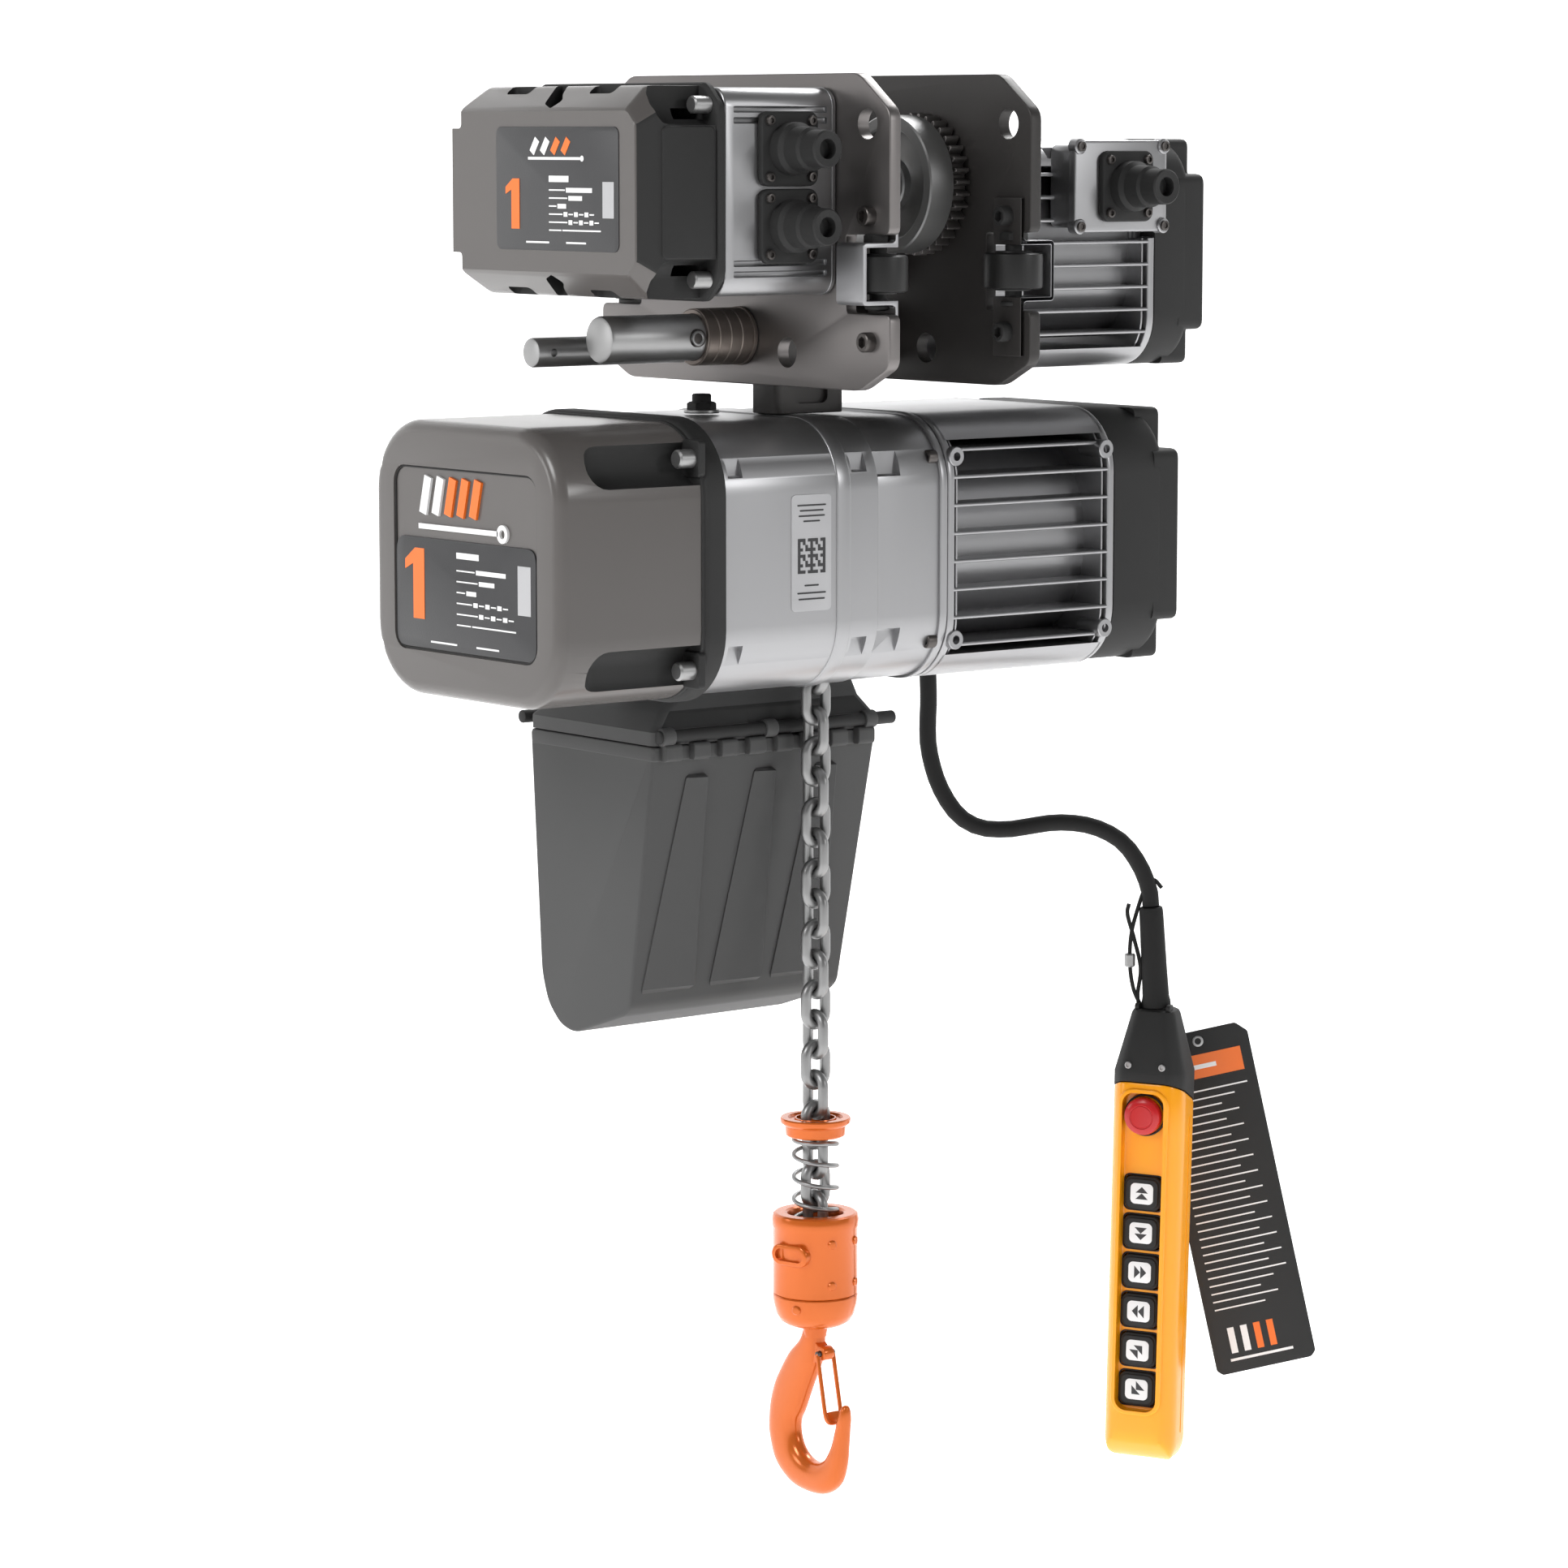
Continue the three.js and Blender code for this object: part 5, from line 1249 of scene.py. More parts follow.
def build_hoist_cover():
    """The large cover: the body section carried along X with a deep rounded rim, cut by corner scoops,
    notches and a shallow panel; a rounded flange; the label and a raised mark.
    """
    shell = bar("x", body_outline(), -266, -150, (9, 0), 6)
    tools = []
    for up in (1, -1):
        z = -198 + up * 69
        for y in (-75.5, 141.5):
            tools.append(bar("x", rounded(y, z, 40, 34, 13), -241, -151.8, (15, 0.2), 5))
        tools.append(bar("x", rounded(139, -198 + up * 74, 20, 34, 4), -268, -257, 0.3))
    shell = minus(shell, bar("x", rounded(*MIDDLE, 164, 122, 12), -268, -264.2, 0))
    tools.append(bar("x", rounded(*MIDDLE, 172, 140, 30), -222, -146, 0.2))
    body, inner = minus(shell, *tools, split=True)
    dark = [inner]
    flange = bar("x", body_outline(3), -151, -134.3, (4, 1.2), 4)
    lip = bar("x", body_outline(1), -153, -150, 0.5)
    hollow = bar("x", rounded(*MIDDLE, 172, 140, 30), -160, -133, 0)
    flange = minus(flange, hollow)
    lip = minus(lip, hollow)
    screws = [
        turned("x", [(0, -168), (5, -168), (6.2, -166.6), (6.2, -150), (0, -150)], (y, -198 + up * 69), 32)
        for y in (-66, 132) for up in (1, -1)
    ]
    seats = [
        bar("x", rounded(y, -198 + up * 69, 19, 24, 3), -155.5, -150, 0.8) for y in (-65, 131)
        for up in (1, -1)
    ]
    piece(
        "hoist_cover",
        [
            (body, "dark_paint"), (combine(flange, lip, *seats, *dark), "black_plastic"),
            (combine(*screws), "ground_steel")
        ],
        stands_for="hoist_control_cover"
    )
    edge = minus(
        bar("x", rounded(*MIDDLE, 163, 121, 11.5), -265, -263.9, 0.2),
        bar("x", rounded(*MIDDLE, 161, 119, 10.5), -266, -263, 0)
    )
    back = bar(
        "x", softened([(-47, -257), (113, -257), (113, -184), (-47, -184)], [10, 10, 10, 10], 6), -265.4,
        -264, 0.3
    )
    parts = label(-265.4, 113, -257, 160, 73, (0.065, 0.26, 0.14, 0.64), None, 1.5)
    piece("hoist_label", [(back, "print_black"), (edge, "black_plastic")] + parts)
    at, size = (113, -184), np.array([160, 47])
    white = [
        stroke([(0.2 + 0.09 * i, 0.34), (0.24 + 0.09 * i, 0.86)], 8, 1.8, -264.2, at, size) for i in (0, 1)
    ]
    orange = [
        stroke([(0.38 + 0.09 * i, 0.34), (0.42 + 0.09 * i, 0.86)], 8, 1.8, -264.2, at, size)
        for i in (0, 1, 2)
    ]
    white.append(stroke([(0.17, 0.16), (0.74, 0.16)], 3.4, 1.8, -264.2, at, size))
    white.append(
        turned(
            "x", [(3, -264.2), (6, -264.2), (6, -266), (3, -266)], (113 - 0.77 * 160, -184 + 0.16 * 47), 32,
            True
        )
    )
    piece("hoist_mark", [(combine(*white), "print_white"), (combine(*orange), "print_orange")])


def pockets(low, high, depth, reach):
    """Box tools for the pockets at the four corners of the cast casings."""
    tools = []
    for s in (-1, 1):
        for t in (-1, 1):
            tools.append(
                bar(
                    "x", rounded(33 + s * 106.5, -198 + t * (91 - reach + 12), 2 * depth, 24, 2), low, high,
                    0
                )
            )
    return tools


def build_hoist_body():
    """Cast gear casing and motor flange: the body section carried along X, with a raised band, corner
    pockets and openings below for the chain; the filler plug is turned.
    """
    through = [bar("z", rounded(0, y, 30, 30, 5), -300, -258, 0) for y in (0.0, 66.4)]
    hollow = rounded(*MIDDLE, 187, 170, 34, 8)
    casing = minus(
        bar("x", body_outline(-1), -134, -4.5, 0.6), bar("x", hollow, -126, 0, 0), *through,
        *pockets(-129, -117, 8, 36), *pockets(-26, -13, 8, 36)
    )
    band = minus(bar("x", body_outline(0), -40, -28, 1.2), bar("x", hollow, -60, -10, 0))
    piece("gear_housing", [(combine(casing, band), "cast_aluminium")], stands_for="gear_casing")
    flange = minus(
        bar("x", body_outline(-2), -4.2, 55.2, 0.6), bar("x", hollow, -10, 45, 0), *through,
        *pockets(-6, 16, 9, 40)
    )
    rim = minus(
        bar("x", body_outline(0), 49, 55.2, 1.2), bar("x", rounded(*MIDDLE, 120, 120, 30), 40, 60, 0)
    )
    grid_ = [
        (i, k) for i in range(11) for k in range(11) if (i * i * 3 + k * k * 5 + i * k * 7 + 2 * i) % 5 < 2
    ]
    marks = [
        bar("y", rounded(-72 + 2.1 * i, -186 - 2.1 * k, 2.1, 2.1, 0.1, 1), -73.3, -73, 0) for i, k in grid_
    ]
    marks += [
        bar("y", rounded(-61.5, z, w, 1.1, 0.4, 1), -73.3, -73, 0)
        for z, w in ((-163, 24), (-166.5, 20), (-170, 22), (-173.5, 14), (-216, 12), (-221, 24), (-225, 22))
    ]
    sticker = bar("y", rounded(-61.5, -194.5, 33, 77, 3), -73.1, -72, 0.1)
    piece("body_sticker", [(sticker, "print_grey"), (combine(*marks), "print_black")])
    bolts = [
        socket_screw("x", (33 + s * 99, -198 + t * 62), 48.5, 7, 5, -1) for s in (-1, 1) for t in (-1, 1)
    ]
    piece(
        "motor_end_shield", [(combine(flange, rim), "cast_aluminium"), (combine(*bolts), "dark_steel")],
        stands_for="motor_flange"
    )
    plug = [
        hex_head("z", (-72, 33), -104.6, 5.5, 10, 1),
        turned("z", [(0, -99.5), (6.5, -99.5), (6.5, -94.6), (5.6, -93.7), (0, -93.7)], (-72, 33), 40)
    ]
    washer = ring("z", 12, 5, -106.7, -104.4, (-72, 33), 0.6)
    piece(
        "filler_plug", [(combine(*plug), "black_plastic"), (washer, "ground_steel")], stands_for="oil_plug"
    )
    neck = bar("z", rounded(-16, 0, 58, 30, 5), -106.7, -54, 0.8)
    neck = minus(
        neck, bar("y", rounded(-16, -82, 28, 36, 5), -18, -11.5, 0),
        bar("y", rounded(-16, -82, 28, 36, 5), 11.5, 18, 0),
        turned("x", [(0, -60), (15.8, -60), (15.8, 30), (0, 30)], (0, -54), 48)
    )
    eye = ring("x", 27, 15.8, -54.7, 8, (0, -54), 1.6, 64)
    piece("hanging_lug", [(combine(neck, eye), "plate_dark")], stands_for="suspension_lug")


def build_hoist_motor(sizes):
    """Hoist motor: the finned barrel with four turned bosses at the corners and the stepped fan cover."""
    shapes = barrel(
        55.5, 204.7, 33, -198, 213, 180, 44, (172, 146, 66), (-66, -47, -28, -9, 10, 29, 48, 66), sizes.fin,
        72
    )
    for s in (-1, 1):
        for z in (-62, 62):
            for x in (63, 197.5):
                tube = turned(
                    "y", [(3, 96), (3, 106.4), (6, 106.4), (6.5, 105.8), (6.5, 84), (3, 84)], (x, -198 + z),
                    28, True
                )
                shapes.append(shifted(tube, offset=(0, 33, 0), scale=(1, s, 1)))
    piece("hoist_motor_body", [(combine(*shapes), "cast_aluminium")], stands_for="motor_casing")
    fan_cap(205, 266, MIDDLE, (213, 176), 44, (21, 28), "motor_fan_cover", "hoist_fan_cap")


# Bucket, chain and hook.


def tapered(shape):
    """Narrows a bucket shape along X: the half width falls in proportion to the depth below the rim."""
    verts = shape[0].copy()
    share = np.clip((-329 - verts[:, 2]) / 210, 0, 1)
    low, high = -121 + 8 * share, 71 - 4 * share
    verts[:, 0] = low + (verts[:, 0] + 121) / 192 * (high - low)
    return verts, shape[1]


def build_bucket():
    """Chain bucket: its side outline carried across and narrowed downwards, hollowed, with a thick rim,
    knuckles and three ramped ribs on its front; above it the bracket, a stack of rounded rectangles from
    the rim to the cap, and two hinge rods.
    """

    def side(d, lift):
        return [
            (22 + d, -329), (166 - d, -329), (164 - d, -500 + lift), (158 - d, -521 + lift),
            (144, -535 + lift), (128, -539 + lift), (68 + d, -519 + lift), (60 + d, -512 + lift)
        ]

    outer = tapered(bar("x", softened(side(0, 0), [3.5, 3.5, 7, 8, 7, 8, 4, 4], 5), -121, 71, 2.2, 4))
    inner = tapered(bar("x", [(24.5, -300)] + [(166 - 2.5, -300)] + side(2.5, 2.5)[2:], -118.5, 68.5, 0))
    bucket = [minus(outer, inner)]
    rim_out = rounded(-25, 94, 192, 144, 4)
    lip = minus(bar("z", rim_out, -339, -329, 1.2), bar("z", inset(rim_out, 3.0), -345, -320, 0))
    bucket.append(lip)
    for x in np.linspace(-108, 58, 8):
        bucket.append(bar("x", rounded(20.4, -333, 9, 12, 3), x - 7, x + 7, 0.8))
    for x in (-83, -25, 28):
        rows = []
        for z, a, b, up in (
            (-350, -6, 7, 0.2), (-352, -8, 8, 1.0), (-440, -17, 14, 1.0), (-500, -23, 19, 1.0),
            (-503, -22, 18, 0.1)
        ):
            lean = 38 * max(0.0, (-329 - z) / 183) if z < -329 else 0
            front = 22 + lean
            rows.append(
                (
                    z,
                    np.array(
                        [
                            (x + a, front + 1), (x + a, front - 1.2 * up), (x + b - 1.0, front - 5.6 * up),
                            (x + b, front - 4.8 * up), (x + b, front + 1)
                        ]
                    )
                )
            )
        bucket.append(stack("z", rows))
    piece("bucket", [(combine(*bucket), "bucket_plastic")], stands_for="chain_bucket")

    def level(x0, x1, y0, y1, r):
        return rounded((x0 + x1) / 2, (y0 + y1) / 2, x1 - x0, y1 - y0, r, 5)

    outer = stack(
        "z",
        [
            (-328.2, level(-121, 71, 22, 166, 5)), (-319, level(-121, 71, 22, 166, 5)),
            (-317.6, level(-120, 70, 22.6, 165, 5)), (-307.3, level(-112, 62, 26, 152, 6)),
            (-305.8, level(-110, 61, 27, 150, 6)), (-291, level(-85, 56, 30, 129, 6)),
            (-289.3, level(-83.5, 54.5, 31, 127, 6))
        ]
    )
    inner = stack(
        "z",
        [
            (-330, level(-117, 67, 26, 162, 3)), (-318.2, level(-117, 67, 26, 162, 3)),
            (-307.3, level(-108, 58, 30, 148, 3)), (-294.5, level(-81, 52, 34, 124, 3))
        ]
    )
    recess = bar("y", softened([(-44, -330), (12, -330), (4, -296), (-36, -296)], 4), 15, 25.4, 0)
    body = minus(outer, inner, bar("z", rounded(0, 66.4, 30, 30, 4), -300, -280, 0), recess)
    body, dark = picked(body, (-42, 22.5, -329), (10, 27, -297))
    hinge = bar("y", rounded(-25, -322.7, 176, 4, 1), 162, 179, 0.4)
    rods = [rod("x", 4.5, -119, 84, (y, -322.2), 0.8, 32) for y in (20.5, 179)]
    collars = [rod("x", 6.2, x - 5, x + 5, (20.5, -322.2), 0.8, 32) for x in (-112, -25, 62)]
    ribs = [
        bar("x", softened([(27, -306), (31, -291.5), (31, -300), (24, -317)], 1), x - 1.5, x + 1.5, 0.3)
        for x in (-70, -52, 26, 44)
    ]
    piece(
        "bucket_hanger",
        [
            (combine(body, hinge, *collars, *ribs), "bucket_plastic"),
            (combine(*rods, dark), "black_plastic")
        ],
        stands_for="bucket_bracket"
    )


def build_chain(sizes):
    """Load chain: each link is a round wire along two half circles joined by straights, turned a quarter
    from its neighbour.
    """
    reach = (24 - 7.3) / 2
    straight = (21 + 7.3 - 2 * reach) / 2
    t = np.linspace(0, np.pi, 15)
    half = np.column_stack([reach * np.cos(t), straight + reach * np.sin(t)])
    loop = np.vstack([half, -half])
    loop = np.vstack([loop[:15], [[-reach, 0]], loop[15:], [[reach, 0]]])
    links = []
    for i in range(23):
        z = -205 - 21 * (i + 0.5) - 3.65
        flat = np.zeros(len(loop))
        if i % 2:
            path = np.column_stack([flat, loop[:, 0], loop[:, 1] + z])
        else:
            path = np.column_stack([loop[:, 0], flat, loop[:, 1] + z])
        links.append(pipe(path, sizes.wire / 2, 16, True))
    piece("chain_links", [(combine(*links), "chain_steel")], "lifting_chain", "load_chain", angle=60)


def build_stop_spring():
    """Bump cup, a turned profile, and the open spring below it, a helix whose end coils lie flat."""
    cup = [
        (13.2, -604), (13.7, -604.5), (19.6, -604.5), (20.5, -603.6), (21, -597.5), (24.0, -595.2),
        (24.3, -594.4), (24.3, -592.4), (23.6, -591.5), (19, -591.5), (18, -593), (14.6, -593),
        (14.2, -591.9), (13.2, -591.9)
    ]
    piece("bump_ring", [(turned("z", cup, (0, 0), 80, True), "orange_paint")], "bump_stop", "bump_cup")
    t = np.linspace(0, 1, 190)
    turn = 2 * np.pi * 5.2 * t
    z = -606.5 - 60.5 * np.interp(t, [0, 0.14, 0.2, 0.8, 0.86, 1], [0, 0.03, 0.1, 0.9, 0.97, 1])
    wire = pipe(np.column_stack([15 * np.cos(turn), 15 * np.sin(turn), z]), 1.5, 12)
    spring = piece("stop_spring", [(wire, "chain_steel")], "lifting_chain", "limit_spring", angle=60)
    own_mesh(spring)


def build_block():
    """Hook block: two turned shells that meet at a fine joint, an oval boss, rivet heads and a lip round
    the chain's mouth.
    """
    upper = [
        (0, -714.7), (28.6, -714.7), (29.3, -714), (29.3, -668), (29.9, -667), (30, -662), (29.2, -659),
        (27.6, -658), (21, -658), (19.4, -659), (18.5, -661), (18.5, -669.5), (13.2, -669.5), (13.2, -705),
        (0, -705)
    ]
    look = [-0.969, -0.258]
    turn = around("z", math.degrees(math.atan2(look[1], look[0])))
    oval = bar("x", rounded(0, 0, 30, 15, 7.4, 8), 20, 31.0, (0, 1.4))
    dish = bar("x", rounded(0, 0, 23, 8.5, 4.2, 8), 28.4, 33, (0, 0))
    boss = shifted(minus(oval, dish), offset=(0, 0, -684), turn=turn)
    rivets = []
    for degrees, z in ((255, -676), (255, -705), (205, -722), (300, -676), (300, -705)):
        head = turned("x", [(0, 26), (3.2, 26), (3.2, 29.6), (2.4, 30.4), (0, 30.7)], (0, 0), 24)
        rivets.append(shifted(head, offset=(0, 0, z), turn=around("z", degrees)))
    piece(
        "block_upper",
        [(combine(turned("z", upper, (0, 0), 96), boss, *rivets[:2], *rivets[3:]), "orange_paint")],
        "lifting_chain", "hook_block_upper"
    )
    lower = [
        (9, -737), (18.4, -737), (20, -736.4), (24.4, -733.6), (27.2, -728.6), (28.9, -721.5), (29.3, -718),
        (29.3, -715.8), (28.6, -715), (14.5, -715), (14.5, -728), (9, -728)
    ]
    piece(
        "block_lower", [(combine(turned("z", lower, (0, 0), 96, True), rivets[2]), "orange_paint")],
        "lifting_chain", "hook_block_lower"
    )


HOOK = np.array(
    [
        (-6.5, -740, 8, -740, 7.2), (-6.5, -750, 13, -750, 7.6), (-5.5, -762, 25, -761, 8),
        (-2, -770, 34, -773, 8), (6, -786, 42, -786, 8),
        (13.1, -801, 46.5, -799, 8), (18.3, -809.8, 48, -811, 8), (18.7, -818.5, 47.6, -824, 8), (
            15.4, -826.5, 40, -842.5, 8
        ), (9, -832.3, 23, -854.2, 8),
        (0.7, -834.9, 4, -857.3, 8), (-7.8, -833.8, -14, -855.3, 8), (-13.9, -830.3, -26.5, -846.5, 7.4), (
            -17.5, -826, -32.5, -832, 6.6
        ),
        (-21.5, -819, -34.8, -817, 5.6), (-25, -808, -36, -806, 5), (-28, -797.5, -37, -798, 4.4), (
            -31, -790.5, -36.5, -791, 3
        ), (-33.2, -788.6, -35, -788.6, 1),
    ]
)


def build_hook():
    """Forged hook: rings between an inner and an outer curve, middle + half (cos t) across and thickness
    (sin t) along X, both drawn towards a fuller oval; shank and nut are turned; the latch is one bent
    wire.
    """
    line = smooth_path(HOOK, 110)
    t = np.linspace(0, 2 * np.pi, 33)[:-1]
    c = np.sign(np.cos(t)) * np.abs(np.cos(t)) ** 0.85
    s = np.sign(np.sin(t)) * np.abs(np.sin(t)) ** 0.85
    middle, half = (line[:, :2] + line[:, 2:4]) / 2, (line[:, 2:4] - line[:, :2]) / 2
    flat = middle[:, None] + half[:, None] * c[None, :, None]
    rings = np.concatenate([(line[:, 4:5] * s[None, :])[..., None], flat], -1)
    shank = turned("z", [(0, -746), (7.6, -746), (8.4, -741), (8.4, -725), (0, -725)], (0, 0), 48)
    nut = hex_head("z", (0, 0), -727.4, 11.4, 13.2, 1)
    lug = minus(
        combine(rod("x", 5, -4.5, 4.5, (-11, -756), 0.6, 40)),
        turned("x", [(0, -6), (2.3, -6), (2.3, 6), (0, 6)], (-11, -756), 24)
    )
    root = bar(
        "x", softened([(-9, -751.5), (-4, -748), (2, -748), (2, -764), (-4, -764), (-9, -760.5)], 1), -4.4,
        4.4, 0.6
    )
    piece(
        "forged_hook", [(combine(grid(rings), shank, lug, root), "orange_paint"), (nut, "dark_steel")],
        "swivel_hook", "hook", angle=50
    )
    u = [
        (-4.9, 0, 0), (-6.0, 0, 0), (-6.8, 0, -1.0), (-6.8, 0, -8), (-6.8, 0, -25), (-6.7, 0, -42),
        (-5.2, 0, -47), (-2, 0, -48.4)
    ]
    path = smooth_path(np.array(u + [(-x, y, z) for x, y, z in u[::-1]]), 90)
    turn = around("x", -12)
    wire = shifted(pipe(path, 1.5, 14), offset=(0, -11, -756), turn=turn)
    pin = shifted(rod("x", 1.9, -7.6, 7.6, (0, 0), 0.4, 24), offset=(0, -11, -756), turn=turn)
    pad = shifted(bar("y", rounded(0, -44.6, 12, 8, 3), -1.3, 1.3, 0.5), offset=(0, -11, -756), turn=turn)
    piece(
        "wire_latch", [(combine(wire, pad), "orange_paint"), (pin, "dark_steel")], "latch", "hook_latch",
        angle=50
    )


# Cable fittings and the pendant.

PENDANT = np.array([364.2, 53.5, -562.5])


def build_gland():
    """Elbow box behind the motor with a turned, ribbed nozzle that tapers along the cable."""
    box = bar("x", rounded(151.5, -133, 22, 28, 4), 8, 44, 1.6)
    profile = [
        (8.0, 122), (6.4, 122), (6.4, 96), (0, 96), (0, 40), (10, 40), (11, 41), (11, 61), (10.6, 62),
        (10, 66)
    ]
    profile += [
        (r, x) for k in range(6)
        for r, x in (
            (9.9 - 0.3 * k, 68 + 8 * k), (9.0 - 0.24 * k, 69 + 8 * k), (9.0 - 0.24 * k, 71.5 + 8 * k),
            (9.7 - 0.3 * k, 72.5 + 8 * k)
        )
    ]
    nozzle = turned("x", profile + [(8.2, 118)], (151.5, -133), 48, True)
    screws = [socket_screw("y", (x, z), 162.5, 2, 2.8, 1) for x in (14, 38) for z in (-141, -125)]
    piece(
        "cable_elbow", [(combine(box, nozzle), "black_plastic"), (combine(*screws), "dark_steel")],
        stands_for="pendant_cable_gland"
    )


def in_pendant(shape):
    """Pendant frame to the row frame: a lean about Y, then a turn about Z, then the place of its head's
    top.
    """
    return shifted(shape, offset=PENDANT, turn=around("z", -60) @ around("y", 1.1))


def in_frame(shape, at, yaw, lean):
    return shifted(shape, offset=at, turn=around("z", yaw) @ around("y", lean))


SECTION = [
    (-18.5, -25), (18.5, -25), (27.5, -14), (27.5, 14), (17, 25), (-17, 25), (-27.5, 14), (-27.5, -14)
]


def slope(verts, above, shift):
    """Shears the top of a pendant shape so that it falls from the front to the rear, 22 in 50."""
    verts = verts.copy()
    top = (verts[:, 2] > above) if shift < 0.1 else (verts[:, 2] < above)
    verts[:, 2] = np.where(top, verts[:, 2] - (verts[:, 1] + 25) * 0.44, verts[:, 2])
    return verts


def build_pendant():
    """Pendant body: the softened section carried down and drawn in at its foot, its top sheared; a channel,
    wells and a raised rim; a faceted head; a turned stop button.
    """
    section = softened(SECTION, [6.4, 6.4, 6.4, 6.4, 7, 7, 6.4, 6.4], 5)
    rows = []
    foot = [
        (-341 + 17 * (1 - math.cos(t)), 9.5 * (1 - math.sin(t))) for t in np.linspace(0.12, math.pi / 2, 9)
    ]
    for z, d in foot + [(-316, 0), (-200, 0), (-90, 0), (-54, 0), (-52.8, 0.5), (-52.2, 1.4)]:
        o = inset(section, d)
        front = -25 + max(0.0, -321 - z) * 0.7
        rear = 25 - max(0.0, -315 - z) * 11 / 26
        o[:, 1] = np.clip(o[:, 1], front + d, rear - d)
        rows.append((z, o))
    shell = stack("z", rows)
    shell = (slope(shell[0], -60, 0), shell[1])
    wells = [bar("y", rounded(0, -136 - 29.7 * i, 29, 26, 4), -19, -9, 0) for i in range(6)]
    stop_well = turned("y", [(0, -20), (8.6, -20), (8.6, -2), (0, -2)], (0, -77), 40)
    channel = bar("y", rounded(0, -180.2, 32, 240.6, 9, 8), -32, -18, (0, 1.0))
    shell = minus(shell, channel, *wells, stop_well)
    rim = minus(
        bar("y", rounded(0, -180.2, 38.4, 247, 12, 8), -26.6, -23, (1.4, 0)),
        bar("y", rounded(0, -180.2, 32, 240.6, 9, 8), -30, -20, 0)
    )
    collar = ring("y", 15.8, 14.4, -21.2, -18.1, (0, -77), 0.5, 64)
    seats = [
        minus(
            bar("y", rounded(0, -136 - 29.7 * i, 30.8, 27.8, 4.5), -18.9, -17.9, (0.4, 0)),
            bar("y", rounded(0, -136 - 29.7 * i, 29, 26, 4), -22, -15, 0)
        )
        for i in range(6)
    ]
    seam = minus(
        bar("z", inset(section, -0.35), -320, -80, 0.3), bar("z", inset(section, 0.6), -330, -70, 0),
        bar("y", rounded(0, -200, 80, 300, 1), -60, 1.2, 0),
        bar("y", rounded(0, -200, 80, 300, 1), 2.4, 60, 0)
    )
    piece(
        "pendant_body",
        [
            (in_pendant(combine(shell, rim)), "yellow_plastic"),
            (in_pendant(combine(collar, *seats)), "black_plastic"), (in_pendant(seam), "yellow_plastic")
        ],
        stands_for="pendant_housing"
    )
    low = softened(SECTION, [5, 5, 5, 5, 6, 6, 5, 5], 4)
    top = softened(
        [(-10, -14), (10, -14), (16, -8), (16, 8), (10, 14), (-10, 14), (-16, 8), (-16, -8)], 3, 4
    )
    head = stack(
        "z",
        [
            (-51.7, low), (-46, low), (-44, inset(low, 0.6)), (-3, inset(top, -0.8)),
            (-0.8, inset(top, 0.4)), (0, inset(top, 2.0))
        ]
    )
    head = (slope(head[0], -50, 1), head[1])
    screws = [socket_screw("y", (x, -40), -23.2, 1.4, 2.6, -1) for x in (-13, 13)]
    loops = [bar("x", rounded(-6, 1.6, 9, 5, 2.4), x - 1.6, x + 1.6, 0.4) for x in (-12, 12)]
    piece(
        "pendant_cap",
        [
            (in_pendant(combine(head, *loops)), "black_plastic"),
            (in_pendant(combine(*screws)), "ground_steel")
        ],
        stands_for="pendant_head"
    )
    stop = [
        (0, -7), (8.2, -7), (8.2, -23), (13.6, -23), (14, -23.4), (14, -26.4), (13.4, -28.4), (11.6, -29.6),
        (9.2, -30), (8.8, -29.6), (8.2, -29.6), (7.8, -30), (0, -30.2)
    ]
    piece(
        "stop_knob", [(in_pendant(turned("y", stop, (0, -77), 72)), "red_plastic")], "stop_button_body",
        "stop_button"
    )


def build_buttons():
    """Push buttons: a rounded square carried forwards in two steps, a pale plate on it and a double arrow,
    turned to suit each button.
    """
    for i in range(6):
        z = -136 - 29.7 * i
        cap = [
            bar("y", rounded(0, z, 28, 25, 5.5), -21.5, -13, (1.2, 0)),
            bar("y", rounded(0, z, 25, 22, 5), -23, -19, (0.8, 0))
        ]
        plate = bar("y", rounded(0, z, 17.5, 15.5, 3.6), -23.12, -22.6, (0.05, 0))
        arrows = []
        spin = around("y", (0, 180, 90, -90, 45, -135)[i])
        for lift in (-4.2, 0.6):
            tri = np.array([(-4.8, lift), (4.8, lift), (0, lift + 4.6)])
            shape = stack("y", [(-23.22, tri), (-22.8, tri)])
            arrows.append(shifted(shape, offset=(0, 0, z), turn=spin))
        parts = [
            (in_pendant(combine(*cap)), "black_plastic"), (in_pendant(plate), "print_white"),
            (in_pendant(combine(*arrows)), "print_black")
        ]
        piece(f"button_{i + 1}", parts, f"push_button_{i + 1}_body", f"push_button_{i + 1}")


